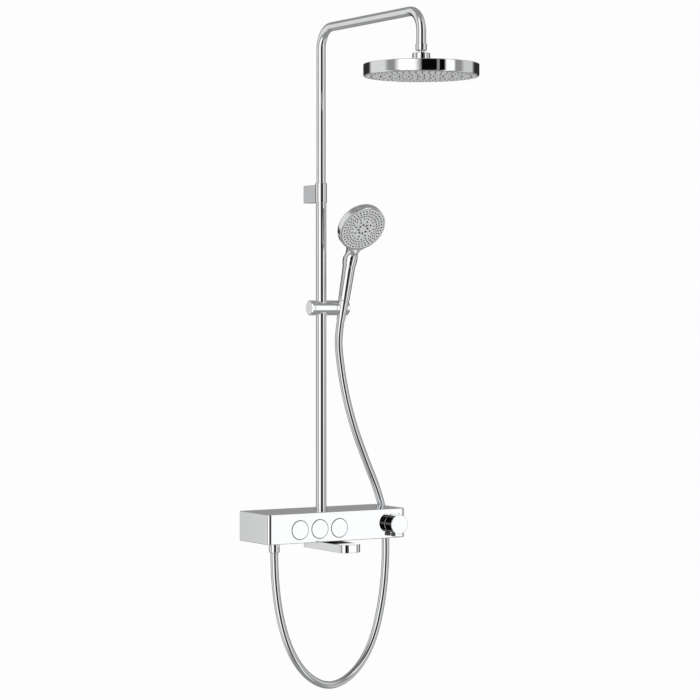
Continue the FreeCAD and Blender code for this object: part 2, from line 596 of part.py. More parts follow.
def water_distributor():
    low, high = NOZZLE_PLATE_TOP + 2.5, NOZZLE_PLATE_TOP + 4.5
    disc = rod(108.0, V(0, HEAD_Y, low), V(0, HEAD_Y, high))
    for ring, count in ((30.0, 6), (60.0, 10), (90.0, 14)):
        for k in range(count):
            angle = 2 * math.pi * k / count
            at = V(ring * math.cos(angle), HEAD_Y + ring * math.sin(angle), 0)
            disc = disc.cut(rod(2.5, at + UP * (low - 1), at + UP * (high + 1)))
    return disc


# ---- slider and holder ----
def slider_axis_point(x):
    return V(x, RISER_Y, SLIDER_Z)


def slider_body():
    body = rod(SLIDER_R, slider_axis_point(SLIDER_LEFT), slider_axis_point(SLIDER_RIGHT))
    rims = edges_on_plane(body, "X", SLIDER_LEFT) + edges_on_plane(body, "X", SLIDER_RIGHT)
    body = body.makeFillet(0.6, rims)
    body = body.cut(rod(RISER_HOLE_R, V(0, RISER_Y, SLIDER_Z - 20), V(0, RISER_Y, SLIDER_Z + 20)))
    body = body.cut(rod(PIVOT_PIN_R, slider_axis_point(16), slider_axis_point(SLIDER_RIGHT + 1)))
    return body.cut(rod(LOCK_SCREW_R + 0.3, slider_axis_point(SLIDER_LEFT - 1), slider_axis_point(0)))


def slider_bush():
    sleeve = tube(BUSH_OUTER_R, BUSH_INNER_R, V(0, RISER_Y, SLIDER_Z - 15), V(0, RISER_Y, SLIDER_Z + 15))
    return sleeve.common(rod(SLIDER_R - 0.35, slider_axis_point(-20), slider_axis_point(20)))


def lock_knob():
    knob = rod(SLIDER_R, slider_axis_point(LOCK_KNOB_LEFT), slider_axis_point(SLIDER_LEFT - SEAM))
    knob = knob.makeChamfer(2.0, edges_on_plane(knob, "X", LOCK_KNOB_LEFT))
    knob = knob.makeFillet(0.6, edges_on_plane(knob, "X", SLIDER_LEFT - SEAM))
    tip = slider_axis_point(-BUSH_OUTER_R - 0.6)
    return joined(knob, rod(LOCK_SCREW_R, slider_axis_point(LOCK_KNOB_LEFT + 3), tip))


def holder_pivot_pin():
    return rod(PIVOT_PIN_R, slider_axis_point(16), slider_axis_point(34.5))


def along_handle(distance):
    return GRIP_POINT + HANDLE_AXIS * distance


def hand_shower_holder():
    left = SLIDER_RIGHT + SEAM
    holder = rod(SLIDER_R, slider_axis_point(left), slider_axis_point(HOLDER_RIGHT))
    holder = holder.makeFillet(0.6, edges_on_plane(holder, "X", left))
    holder = holder.makeChamfer(1.2, edges_on_plane(holder, "X", HOLDER_RIGHT))
    slope = (NUT_LARGE_R - NUT_SMALL_R) / (NUT_SHOULDER - NUT_BOTTOM)
    small, large = NUT_SMALL_R - 5 * slope + GRIP_GAP, NUT_LARGE_R + GRIP_GAP
    cone = taper(small, large, along_handle(NUT_BOTTOM - 5), along_handle(NUT_SHOULDER))
    collar = rod(NUT_COLLAR_R + GRIP_GAP, along_handle(NUT_SHOULDER - 0.5), along_handle(NUT_TOP + 12))
    holder = holder.cut(cone).cut(collar)
    return holder.cut(rod(PIVOT_PIN_R + 0.06, slider_axis_point(left - 1), slider_axis_point(35)))


# ---- hand shower ----
def hose_cone_nut():
    nut = joined(taper(NUT_SMALL_R, NUT_LARGE_R, along_handle(NUT_BOTTOM), along_handle(NUT_SHOULDER)),
                 rod(NUT_COLLAR_R, along_handle(NUT_SHOULDER), along_handle(NUT_TOP)))
    nut = nut.cut(rod(8.0, along_handle(6), along_handle(NUT_TOP + 1)))
    return nut.cut(rod(5.0, along_handle(NUT_BOTTOM - 1), along_handle(7)))


def handset_inlet():
    return tube(8.0, 5.5, along_handle(6), along_handle(50))


def on_spray(up, back, side=0.0):
    """A point of the spray head: up its face, back from its face and sideways."""
    return SPRAY_CENTRE + SPRAY_UP * up - SPRAY_NORMAL * back + RIGHT * side


def ellipse_wire(centre, normal, across, deep):
    """An ellipse with its long axis along X."""
    other = normal.cross(RIGHT).normalize()
    curve = Part.Ellipse(centre + RIGHT * across, centre + other * deep, centre)
    return Part.Wire(curve.toShape())


def handset_shell():
    """Handle, neck and spray head in one moulding, with the waterway through it."""
    disc = rod(SPRAY_R, on_spray(0, 0), on_spray(0, SPRAY_THICK))
    disc = disc.makeFillet(SPRAY_BACK_ROUND, edges_centred_on(disc, on_spray(0, SPRAY_THICK)))
    disc = disc.makeFillet(SPRAY_RIM_ROUND, edges_centred_on(disc, on_spray(0, 0)))
    handle = taper(HANDLE_START_R, HANDLE_END_R, along_handle(HANDLE_START), along_handle(HANDLE_END))
    neck_axis = (on_spray(-30, 12) - along_handle(HANDLE_END)).normalize()
    neck = Part.makeLoft([
        ellipse_wire(along_handle(HANDLE_END), HANDLE_AXIS, HANDLE_END_R, HANDLE_END_R),
        ellipse_wire(on_spray(-51, 13.5), neck_axis, 17.0, 12.0),
        ellipse_wire(on_spray(-34, 12), SPRAY_UP, 24.0, 8.5),
    ], True, False)
    shell = joined(disc, handle, neck)
    shell = shell.cut(rod(SPRAY_FACE_R, on_spray(0, -1), on_spray(0, 13)))
    shell = shell.cut(rod(8.0, along_handle(HANDLE_START - 1), along_handle(HANDLE_END)))
    return shell.cut(rod(5.0, along_handle(HANDLE_END - 6), on_spray(-36, 8)))


def spray_face():
    return rod(SPRAY_FACE_R - 0.1, on_spray(0, 0.6), on_spray(0, 3.6))


def nozzle_mat():
    return rod(SPRAY_FACE_R - 2, on_spray(0, 3.6), on_spray(0, 5.4))


def spray_distributor():
    disc = rod(SPRAY_FACE_R - 4, on_spray(0, 5.4), on_spray(0, 7.4))
    for k in range(8):
        angle = 2 * math.pi * k / 8
        up, side = 25 * math.cos(angle), 25 * math.sin(angle)
        disc = disc.cut(rod(2.0, on_spray(up, 5, side), on_spray(up, 8, side)))
    return disc


PARTS = {
    "mixer_housing": mixer_housing, "index_mark": index_mark, "back_plate": back_plate,
    "plate_screws": plate_screws, "union_nuts": union_nuts, "inlet_unions": inlet_unions,
    "flow_cartridges": flow_cartridges, "button_springs": button_springs,
    "valve_manifold": valve_manifold, "thermostat_cartridge": thermostat_cartridge,
    "temperature_stop_ring": temperature_stop_ring, "hose_outlet_fitting": hose_outlet_fitting,
    "lower_hose_nut": lower_hose_nut, "temperature_knob": temperature_knob, "knob_tab": knob_tab_block,
    "knob_stem": knob_stem, "spout_socket": spout_socket, "spout_washer": spout_washer,
    "spout_bar": spout_bar, "spout_stem": spout_stem, "spout_o_rings": spout_o_rings,
    "aerator_ring": aerator_ring, "aerator_insert": aerator_insert,
    "riser_base_fitting": riser_base_fitting, "riser_lower_tube": riser_lower_tube,
    "bracket_collar": bracket_collar, "riser_gland": riser_gland, "bracket_block": bracket_block,
    "bracket_anchor": bracket_anchor, "bracket_set_screw": bracket_set_screw,
    "riser_guide_bush": riser_guide_bush, "riser_upper_tube": riser_upper_tube, "neck_nut": neck_nut,
    "swivel_ball": swivel_ball, "ball_seat_upper": lambda: ball_seat(2.5, 5.0),
    "ball_seat_lower": lambda: ball_seat(-6.5, -1.5), "swivel_collar": swivel_collar,
    "collar_lock_nut": collar_lock_nut, "rain_head_shell": rain_head_shell,
    "rain_nozzle_plate": rain_nozzle_plate, "water_distributor": water_distributor,
    "slider_body": slider_body, "slider_bush": slider_bush,
    "lock_knob": lock_knob, "holder_pivot_pin": holder_pivot_pin,
    "hand_shower_holder": hand_shower_holder, "hose_cone_nut": hose_cone_nut,
    "handset_inlet": handset_inlet, "handset_shell": handset_shell,
    "spray_face": spray_face, "nozzle_mat": nozzle_mat, "spray_distributor": spray_distributor,
}


def add_repeated_parts():
    """The three buttons and the five pieces of the hose."""
    for side, x in BUTTONS.items():
        PARTS["push_button_" + side] = lambda x=x: push_button(x)
    for name, (first, last) in HOSE_PIECES.items():
        PARTS[name] = lambda first=first, last=last: hose_piece(first, last)


def main():
    os.makedirs("parts", exist_ok=True)
    add_repeated_parts()
    print("hose bend radii:", [round(arc[3]) for arc in rounded_runs(HOSE_ROUTE)[1]])
    for name, make in PARTS.items():
        shape = make()
        if not shape.isValid() or not shape.Solids:
            print("not sound:", name)
        shape.exportStep(f"parts/{name}.step")
    print(len(PARTS), "parts")


main()
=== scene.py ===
"""Visual model of a rainfall shower column: shelf mixer, riser with a rain head, hand shower and hose.

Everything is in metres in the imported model's frame: X along the wall, +Y into the wall, +Z up.
"""

from __future__ import annotations

import json
import logging
import math
from dataclasses import dataclass
from enum import Enum
from typing import Any, Callable

import bmesh
import bpy
import numpy as np
from mathutils import Matrix, Vector

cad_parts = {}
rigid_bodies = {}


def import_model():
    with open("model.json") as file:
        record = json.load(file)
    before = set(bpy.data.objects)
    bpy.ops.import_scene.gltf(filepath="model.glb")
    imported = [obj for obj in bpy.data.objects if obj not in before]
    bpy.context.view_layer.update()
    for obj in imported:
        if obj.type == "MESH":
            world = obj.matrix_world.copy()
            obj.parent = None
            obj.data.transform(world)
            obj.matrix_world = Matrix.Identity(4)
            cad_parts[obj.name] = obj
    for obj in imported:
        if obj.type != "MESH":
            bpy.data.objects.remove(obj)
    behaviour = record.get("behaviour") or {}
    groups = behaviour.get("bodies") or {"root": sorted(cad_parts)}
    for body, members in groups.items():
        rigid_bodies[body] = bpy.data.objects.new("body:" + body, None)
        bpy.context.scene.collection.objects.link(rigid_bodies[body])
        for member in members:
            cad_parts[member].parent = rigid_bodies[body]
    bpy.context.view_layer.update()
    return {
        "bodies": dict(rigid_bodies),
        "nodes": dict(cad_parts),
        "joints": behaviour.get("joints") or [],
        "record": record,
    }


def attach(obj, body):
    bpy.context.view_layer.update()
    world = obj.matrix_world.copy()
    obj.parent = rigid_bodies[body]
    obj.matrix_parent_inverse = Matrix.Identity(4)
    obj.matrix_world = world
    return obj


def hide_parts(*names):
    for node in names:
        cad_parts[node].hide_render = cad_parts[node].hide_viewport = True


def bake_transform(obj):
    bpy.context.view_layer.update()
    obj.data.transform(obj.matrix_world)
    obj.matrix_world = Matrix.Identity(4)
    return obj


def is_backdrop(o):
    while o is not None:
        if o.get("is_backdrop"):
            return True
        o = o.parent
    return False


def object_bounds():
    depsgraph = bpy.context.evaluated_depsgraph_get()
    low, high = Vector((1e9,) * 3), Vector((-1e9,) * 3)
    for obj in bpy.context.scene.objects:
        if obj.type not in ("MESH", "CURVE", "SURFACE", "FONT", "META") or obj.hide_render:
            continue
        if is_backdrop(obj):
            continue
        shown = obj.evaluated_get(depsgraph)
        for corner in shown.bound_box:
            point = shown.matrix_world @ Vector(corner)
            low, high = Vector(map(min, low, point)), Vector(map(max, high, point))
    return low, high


log = logging.getLogger("shower_column")

MM = 0.001
Point = tuple[float, float, float]
Profile = list[tuple[float, float]]


# ---------------------------------------------------------------- small tools
def colour(hex_code: str) -> tuple[float, float, float, float]:
    """Turn an sRGB hex value into Blender's linear colour.

    Args:
        hex_code: Six hex digits after a hash.

    Returns:
        Linear red, green, blue and an alpha of one.
    """
    channels = [int(hex_code[i:i + 2], 16) / 255 for i in (1, 3, 5)]
    linear = [c / 12.92 if c <= 0.04045 else ((c + 0.055) / 1.055) ** 2.4 for c in channels]
    return (linear[0], linear[1], linear[2], 1.0)


def add_node(tree: bpy.types.NodeTree, kind: str, inputs: dict[str | int, Any] | None = None,
             **settings: Any) -> bpy.types.Node:
    """Add a node with its settings, and fill or link its inputs.

    Args:
        tree: The node tree it goes in.
        kind: The node's type name.
        inputs: Values or output sockets, by input name or index.
        settings: The node's own properties.

    Returns:
        The new node.
    """
    node = tree.nodes.new(kind)
    for name, value in settings.items():
        setattr(node, name, value)
    for key, value in (inputs or {}).items():
        if isinstance(value, bpy.types.NodeSocket):
            tree.links.new(value, node.inputs[key])
        else:
            node.inputs[key].default_value = value
    return node


def fill_ramp(node: bpy.types.Node, stops: list[tuple[float, float]], ease: bool = False) -> None:
    """Give a colour ramp its grey stops.

    Args:
        node: The colour ramp node.
        stops: Position and linear grey of each stop, in rising order.
        ease: Whether the ramp eases between its stops.
    """
    ramp = node.color_ramp
    ramp.interpolation = "EASE" if ease else "LINEAR"
    while len(ramp.elements) > 1:
        ramp.elements.remove(ramp.elements[-1])
    ramp.elements[0].position = stops[0][0]
    ramp.elements[0].color = (stops[0][1],) * 3 + (1.0,)
    for position, grey in stops[1:]:
        element = ramp.elements.new(position)
        element.color = (grey, grey, grey, 1.0)


def mesh_object(name: str, mesh: bpy.types.Mesh) -> bpy.types.Object:
    """Put a mesh in the scene as an unturned object at the origin."""
    item = bpy.data.objects.new(name, mesh)
    bpy.context.scene.collection.objects.link(item)
    return item


def turned_mesh(name: str, profile: Profile, segments: int, place: Matrix) -> bpy.types.Mesh:
    """Turn a closed profile about its own Z axis, as on a lathe.

    Args:
        name: Name of the mesh.
        profile: Radius and height of each point in millimetres. It starts and ends on the axis, or goes
            right round a ring's section.
        segments: Steps round the axis.
        place: Where the turned shape goes, in metres.

    Returns:
        A closed mesh with its faces outwards.
    """
    shape = bmesh.new()
    rings: list[list[bmesh.types.BMVert]] = []
    for radius, height in profile:
        count = 1 if radius < 1e-6 else segments
        ring = []
        for k in range(count):
            angle = 2 * math.pi * k / segments
            ring.append(shape.verts.new((radius * MM * math.cos(angle), radius * MM * math.sin(angle),
                                         height * MM)))
        rings.append(ring)
    for low, high in zip(rings, rings[1:]):
        for k in range(segments):
            after = (k + 1) % segments
            corners = [low[k % len(low)], low[after % len(low)], high[after % len(high)], high[k % len(high)]]
            unique = list(dict.fromkeys(corners))
            if len(unique) > 2:
                shape.faces.new(unique)
    bmesh.ops.remove_doubles(shape, verts=shape.verts, dist=1e-7)
    bmesh.ops.recalc_face_normals(shape, faces=shape.faces)
    mesh = bpy.data.meshes.new(name)
    shape.to_mesh(mesh)
    shape.free()
    mesh.transform(place)
    return mesh


def smooth_by_angle(mesh: bpy.types.Mesh, degrees: float) -> None:
    """Shade a mesh smoothly, but keep its edges sharper than an angle crisp."""
    mesh.shade_smooth()
    shape = bmesh.new()
    shape.from_mesh(mesh)
    for edge in shape.edges:
        edge.smooth = len(edge.link_faces) == 2 and edge.calc_face_angle(0.0) < math.radians(degrees)
    shape.to_mesh(mesh)
    shape.free()


def joined_mesh(name: str, meshes: list[bpy.types.Mesh]) -> bpy.types.Mesh:
    """Join meshes into one, keeping their materials, and remove the originals.

    Args:
        name: Name of the new mesh.
        meshes: The meshes to join.

    Returns:
        The joined mesh.
    """
    materials: list[bpy.types.Material] = []
    shape = bmesh.new()
    for mesh in meshes:
        slots = []
        for material in mesh.materials:
            if material not in materials:
                materials.append(material)
            slots.append(materials.index(material))
        start = len(shape.faces)
        shape.from_mesh(mesh)
        shape.faces.ensure_lookup_table()
        for face in shape.faces[start:]:
            if slots:
                face.material_index = slots[min(face.material_index, len(slots) - 1)]
    whole = bpy.data.meshes.new(name)
    shape.to_mesh(whole)
    shape.free()
    for material in materials:
        whole.materials.append(material)
    for mesh in meshes:
        bpy.data.meshes.remove(mesh)
    return whole


# ---------------------------------------------------------------- finishes
class Pattern(Enum):
    """Kinds of surface marks that a finish can have."""

    POLISH = "polish"
    GRAIN = "grain"
    BRUSHED = "brushed"
    TURNED = "turned"


@dataclass(frozen=True)
class Finish:
    """One real surface finish, made into a material once.

    Attributes:
        name: The finish's plain name.
        light: The colour where the pattern is lightest.
        dark: The colour where it is darkest.
        metallic: One for a metal surface, zero for a plastic or rubber.
        rough_low: Least roughness.
        rough_high: Most roughness.
        ior: Index of refraction of a surface that isn't metal.
        pattern: The kind of marks.
        pitch: The marks' real size in millimetres.
        relief: Height of the marks in millimetres.
        glow: Light that it gives off itself, for the studio floor alone.
        under: Colour of painted shade laid over an underside in place of its finish, or nothing.
        under_height: Height in millimetres below which that painted shade starts.
    """

    name: str
    light: str
    dark: str
    metallic: float
    rough_low: float
    rough_high: float
    ior: float
    pattern: Pattern
    pitch: float
    relief: float
    glow: float = 0.0
    under: str = ""
    under_height: float = 0.0

    def material(self) -> bpy.types.Material:
        """Build the node material, or return it if it is there already."""
        made = bpy.data.materials.get(self.name)
        if made:
            return made
        made = bpy.data.materials.new(self.name)
        made.use_nodes = True
        tree = made.node_tree
        tree.nodes.clear()
        place = add_node(tree, "ShaderNodeTexCoord").outputs["Object"]
        stretch = {Pattern.BRUSHED: (0.06, 1.0, 1.0), Pattern.TURNED: (1.0, 1.0, 6.0)}
        scale = Vector(stretch.get(self.pattern, (1.0, 1.0, 1.0))) / (self.pitch * MM)
        mapped = add_node(tree, "ShaderNodeMapping", {"Vector": place, "Scale": scale}).outputs["Vector"]
        detail = 6.0 if self.pattern is Pattern.POLISH else 3.0
        marks = add_node(tree, "ShaderNodeTexNoise", {"Vector": mapped, "Scale": 1.0, "Detail": detail,
                                                      "Roughness": 0.55}).outputs["Fac"]
        tint = add_node(tree, "ShaderNodeValToRGB", {"Fac": marks})
        tint.color_ramp.elements[0].position = 0.3
        tint.color_ramp.elements[0].color = colour(self.dark)
        tint.color_ramp.elements[1].position = 0.7
        tint.color_ramp.elements[1].color = colour(self.light)
        rough = add_node(tree, "ShaderNodeMapRange", {"Value": marks, "From Min": 0.3, "From Max": 0.7,
                                                      "To Min": self.rough_high, "To Max": self.rough_low})
        inputs: dict[str | int, Any] = {
            "Base Color": tint.outputs["Color"], "Metallic": self.metallic,
            "Roughness": rough.outputs["Result"],
        }
        # Painted shade: below under_height the surface is painted the dark under colour, non-metal and rougher,
        # instead of its own finish.
        if self.under:
            height = add_node(tree, "ShaderNodeSeparateXYZ", {0: place}).outputs["Z"]
            below = add_node(tree, "ShaderNodeMath", {0: height, 1: self.under_height * MM},
                             operation="LESS_THAN").outputs[0]
            painted_underside_shade = add_node(tree, "ShaderNodeMix",
                            {0: below, 6: tint.outputs["Color"], 7: colour(self.under)},
                            data_type="RGBA")
            inputs["Base Color"] = painted_underside_shade.outputs[2]
            inputs["Metallic"] = add_node(tree, "ShaderNodeMath", {0: 1.0, 1: below},
                                          operation="SUBTRACT").outputs[0]
            inputs["Roughness"] = add_node(tree, "ShaderNodeMath",
                                           {0: below, 1: 0.4, 2: rough.outputs["Result"]},
                                           operation="MULTIPLY_ADD").outputs[0]
        if self.glow > 0:
            inputs["Emission Color"] = colour(self.light)
            inputs["Emission Strength"] = self.glow
        if self.metallic < 0.5:
            inputs["IOR"] = self.ior
        if self.relief > 0:
            bump = add_node(tree, "ShaderNodeBump", {"Height": marks, "Distance": self.relief * MM,
                                                     "Strength": 1.0})
            inputs["Normal"] = bump.outputs["Normal"]
        shader = add_node(tree, "ShaderNodeBsdfPrincipled", inputs)
        add_node(tree, "ShaderNodeOutputMaterial", {"Surface": shader.outputs["BSDF"]})
        return made


# Bright chromium over nickel on brass: a mirror, with the faintest cloudiness left by the polishing mop.
POLISHED_CHROME = Finish("polished_chrome_plate", "#EBECED", "#E8E9EA", 1.0, 0.015, 0.03, 1.5, Pattern.POLISH,
                         16.0, 0.0)
# The housing's chrome has painted shade under it: below its lower edge the underside is painted black, as a
# rough non-metal, instead of chrome.
HOUSING_CHROME = Finish("chrome_plated_housing", "#EBECED", "#E8E9EA", 1.0, 0.015, 0.03, 1.5, Pattern.POLISH,
                        22.0, 0.0, 0.0, "#0F1011", -30.8)
# Satin chrome of the wall bracket: the same plate over a blasted surface, so it shows no sharp image.
SATIN_CHROME = Finish("satin_chrome_plate", "#E4E5E6", "#DDDEE0", 1.0, 0.30, 0.36, 1.5, Pattern.GRAIN, 0.8,
                      0.003)
# Chrome-coloured hose: a metallised sleeve under a clear skin, a little greyer and softer than plate.
HOSE_SLEEVE = Finish("metallised_hose_sleeve", "#E6E7E9", "#DFE1E3", 1.0, 0.03, 0.06, 1.5, Pattern.POLISH,
                     2.4,
                     0.0)
# Light grey moulded ABS of the spray plates: an even satin with fine spark-eroded grain.
SPRAY_PLATE_ABS = Finish("grey_satin_abs", "#D8D9DA", "#CECFD0", 0.0, 0.36, 0.46, 1.53, Pattern.GRAIN, 0.6,
                         0.01)
# Liquid silicone nozzles, dark grey and nearly matte, with a soft sheen on their tips.
NOZZLE_SILICONE = Finish("dark_silicone", "#1E1F21", "#151617", 0.0, 0.60, 0.75, 1.41, Pattern.GRAIN, 0.5,
                         0.01)
# Machined brass of the water ways: yellow, with fine turning marks.
TURNED_BRASS = Finish("turned_brass", "#D9B778", "#B8924F", 1.0, 0.22, 0.36, 1.5, Pattern.TURNED, 0.8, 0.01)
# Bright stainless of screws, springs and plates: grey with fine brushing.
BRUSHED_STAINLESS = Finish("brushed_stainless", "#C9CACB", "#A9ABAD", 1.0, 0.24, 0.38, 1.5, Pattern.BRUSHED,
                           0.3, 0.006)
# White acetal of the bushes and cartridges: smooth moulding with a waxy gloss.
MOULDED_ACETAL = Finish("moulded_white_acetal", "#EDEDE8", "#E1E1DA", 0.0, 0.30, 0.42, 1.48, Pattern.GRAIN,
                        1.4, 0.006)
# Black glass-filled polyamide of the stop ring: satin with a grainy skin.
BLACK_POLYAMIDE = Finish("black_polyamide", "#26272A", "#18191B", 0.0, 0.38, 0.55, 1.53, Pattern.GRAIN, 0.8,
                         0.015)
# Nitrile rubber of the O-rings: black and matte.
NITRILE_RUBBER = Finish("nitrile_rubber", "#1D1D1E", "#121213", 0.0, 0.60, 0.75, 1.52, Pattern.GRAIN, 0.7,
                        0.01)
# Pale painted studio floor.
STUDIO_FLOOR = Finish("pale_studio_floor", "#F6F6F6", "#F2F2F2", 0.0, 0.65, 0.80, 1.45, Pattern.GRAIN, 30.0,
                      0.05,
                      0.9)


def dress(frame: dict[str, Any], finish: Finish, *nodes: str) -> None:
    """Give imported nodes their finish.

    Args:
        frame: The loaded frame.
        finish: The finish they get.
        nodes: Names of the nodes.
    """
    for name in nodes:
        mesh = frame["nodes"][name].data
        mesh.materials.clear()
        mesh.materials.append(finish.material())
        log.info("dressed %s in %s", name, finish.name)


# ---------------------------------------------------------------- node trees that repeat or follow
def new_tree(name: str, inputs: list[tuple[str, str]]) -> tuple[bpy.types.NodeTree, bpy.types.Node]:
    """Start a Geometry Nodes tree with named inputs.

    Args:
        name: Name of the tree.
        inputs: Name and socket type of each input after the geometry.

    Returns:
        The tree and its group input node.
    """
    tree = bpy.data.node_groups.new(name, "GeometryNodeTree")
    tree.interface.new_socket("Geometry", in_out="INPUT", socket_type="NodeSocketGeometry")
    for label, kind in inputs:
        tree.interface.new_socket(label, in_out="INPUT", socket_type=kind)
    tree.interface.new_socket("Geometry", in_out="OUTPUT", socket_type="NodeSocketGeometry")
    return tree, tree.nodes.new("NodeGroupInput")


def finish_tree(tree: bpy.types.NodeTree, start: bpy.types.Node, shape: bpy.types.NodeSocket) -> None:
    """End a tree: smooth shading, real geometry, and its material."""
    smooth = add_node(tree, "GeometryNodeSetShadeSmooth", {"Geometry": shape})
    real = add_node(tree, "GeometryNodeRealizeInstances", {"Geometry": smooth.outputs["Geometry"]})
    coated = add_node(tree, "GeometryNodeSetMaterial", {"Geometry": real.outputs["Geometry"],
                                                        "Material": start.outputs["Material"]})
    add_node(tree, "NodeGroupOutput", {0: coated.outputs["Geometry"]})


def run_tree(tree: bpy.types.NodeTree, base: bpy.types.Mesh, values: dict[str, Any]) -> bpy.types.Mesh:
    """Run a Geometry Nodes tree on a mesh and keep the result as a plain mesh.

    Args:
        tree: The tree.
        base: The mesh it starts from.
        values: Values of its named inputs.

    Returns:
        The resulting mesh.
    """
    holder = mesh_object("tree_run", base)
    modifier = holder.modifiers.new("tree", "NODES")
    modifier.node_group = tree
    for item in tree.interface.items_tree:
        if item.in_out == "INPUT" and item.name in values:
            modifier[item.identifier] = values[item.name]
    bpy.context.view_layer.update()
    graph = bpy.context.evaluated_depsgraph_get()
    result = bpy.data.meshes.new_from_object(holder.evaluated_get(graph))
    bpy.data.objects.remove(holder)
    bpy.data.meshes.remove(base)
    return result


def nozzle_ring_tree() -> bpy.types.NodeTree:
    """A ring of soft conical nozzles, each with a hollow tip, standing on a plate."""
    made = bpy.data.node_groups.get("nozzle_ring")
    if made:
        return made
    tree, start = new_tree("nozzle_ring", [
        ("Ring radius", "NodeSocketFloat"), ("Count", "NodeSocketInt"), ("Nozzle radius", "NodeSocketFloat"),
        ("Nozzle height", "NodeSocketFloat"), ("Stretch", "NodeSocketFloat"), ("Phase", "NodeSocketFloat"),
        ("Material", "NodeSocketMaterial"),
    ])
    given = start.outputs
    ring = add_node(tree, "GeometryNodeMeshCircle",
                    {"Vertices": given["Count"], "Radius": given["Ring radius"]})
    turn = add_node(tree, "ShaderNodeCombineXYZ", {"Z": given["Phase"]})
    turned = add_node(tree, "GeometryNodeTransform", {"Geometry": ring.outputs["Mesh"],
                                                      "Rotation": turn.outputs["Vector"]})
    tip = add_node(tree, "ShaderNodeMath", {0: given["Nozzle radius"], 1: 0.72}, operation="MULTIPLY")
    hole = add_node(tree, "ShaderNodeMath", {0: given["Nozzle radius"], 1: 0.34}, operation="MULTIPLY")
    depth = add_node(tree, "ShaderNodeMath", {0: given["Nozzle height"], 1: 0.45}, operation="MULTIPLY")
    body = add_node(tree, "GeometryNodeMeshCone", {"Vertices": 14, "Radius Top": tip.outputs[0],
                                                   "Radius Bottom": given["Nozzle radius"],
                                                   "Depth": given["Nozzle height"]}, fill_type="NONE")
    dip = add_node(tree, "GeometryNodeMeshCone", {"Vertices": 14, "Radius Top": tip.outputs[0],
                                                  "Radius Bottom": hole.outputs[0],
                                                  "Depth": depth.outputs[0]},
                   fill_type="NONE")
    inward = add_node(tree, "GeometryNodeFlipFaces", {"Mesh": dip.outputs["Mesh"]})
    floor = add_node(tree, "GeometryNodeMeshCircle", {"Vertices": 14, "Radius": hole.outputs[0]},
                     fill_type="NGON")
    mouth = tree.nodes.new("GeometryNodeJoinGeometry")
    for part in (inward.outputs["Mesh"], floor.outputs["Mesh"]):
        tree.links.new(part, mouth.inputs[0])
    mouth_height = add_node(tree, "ShaderNodeMath", {0: given["Nozzle height"], 1: depth.outputs[0]},
                            operation="SUBTRACT")
    mouth_lift = add_node(tree, "ShaderNodeCombineXYZ", {"Z": mouth_height.outputs[0]})
    raised = add_node(tree, "GeometryNodeTransform", {"Geometry": mouth.outputs["Geometry"],
                                                      "Translation": mouth_lift.outputs["Vector"]})
    nozzle = tree.nodes.new("GeometryNodeJoinGeometry")
    for part in (body.outputs["Mesh"], raised.outputs["Geometry"]):
        tree.links.new(part, nozzle.inputs[0])
    size = add_node(tree, "ShaderNodeCombineXYZ", {"X": given["Stretch"], "Y": 1.0, "Z": 1.0})
    position = tree.nodes.new("GeometryNodeInputPosition")
    aim = add_node(tree, "FunctionNodeAlignRotationToVector", {"Vector": position.outputs["Position"]},
                   axis="X",
                   pivot_axis="Z")
    placed = add_node(tree, "GeometryNodeInstanceOnPoints", {
        "Points": turned.outputs["Geometry"], "Instance": nozzle.outputs["Geometry"],
        "Rotation": aim.outputs["Rotation"], "Scale": size.outputs["Vector"]})
    finish_tree(tree, start, placed.outputs["Instances"])
    return tree


def ridged_hose_tree() -> bpy.types.NodeTree:
    """A round hose with fine ridges that follows a line of points."""
    made = bpy.data.node_groups.get("ridged_hose")
    if made:
        return made
    tree, start = new_tree("ridged_hose", [
        ("Radius", "NodeSocketFloat"), ("Ridge height", "NodeSocketFloat"),
        ("Ridge pitch", "NodeSocketFloat"),
        ("Start", "NodeSocketFloat"), ("Step", "NodeSocketFloat"), ("Sides", "NodeSocketInt"),
        ("Material", "NodeSocketMaterial"),
    ])
    given = start.outputs
    line = add_node(tree, "GeometryNodeMeshToCurve", {"Mesh": given["Geometry"]})
    stepped = add_node(tree, "GeometryNodeResampleCurve", {"Curve": line.outputs["Curve"],
                                                           "Length": given["Step"]}, mode="LENGTH")
    along = tree.nodes.new("GeometryNodeSplineParameter")
    from_outlet = add_node(tree, "ShaderNodeMath", {0: along.outputs["Length"], 1: given["Start"]},
                           operation="ADD")
    turns = add_node(tree, "ShaderNodeMath", {0: from_outlet.outputs[0], 1: given["Ridge pitch"]},
                     operation="DIVIDE")
    phase = add_node(tree, "ShaderNodeMath", {0: turns.outputs[0], 1: 2 * math.pi}, operation="MULTIPLY")
    wave = add_node(tree, "ShaderNodeMath", {0: phase.outputs[0]}, operation="COSINE")
    relief = add_node(tree, "ShaderNodeMath", {0: given["Ridge height"], 1: given["Radius"]},
                      operation="DIVIDE")
    half = add_node(tree, "ShaderNodeMath", {0: relief.outputs[0], 1: 0.5}, operation="MULTIPLY")
    swell = add_node(tree, "ShaderNodeMath", {0: wave.outputs[0], 1: half.outputs[0], 2: 1.0},
                     operation="MULTIPLY_ADD")
    ring = add_node(tree, "GeometryNodeCurvePrimitiveCircle", {"Resolution": given["Sides"],
                                                              "Radius": given["Radius"]})
    skin = add_node(tree, "GeometryNodeCurveToMesh", {"Curve": stepped.outputs["Curve"],
                                                      "Profile Curve": ring.outputs["Curve"],
                                                      "Scale": swell.outputs[0], "Fill Caps": True})
    finish_tree(tree, start, skin.outputs["Mesh"])
    return tree


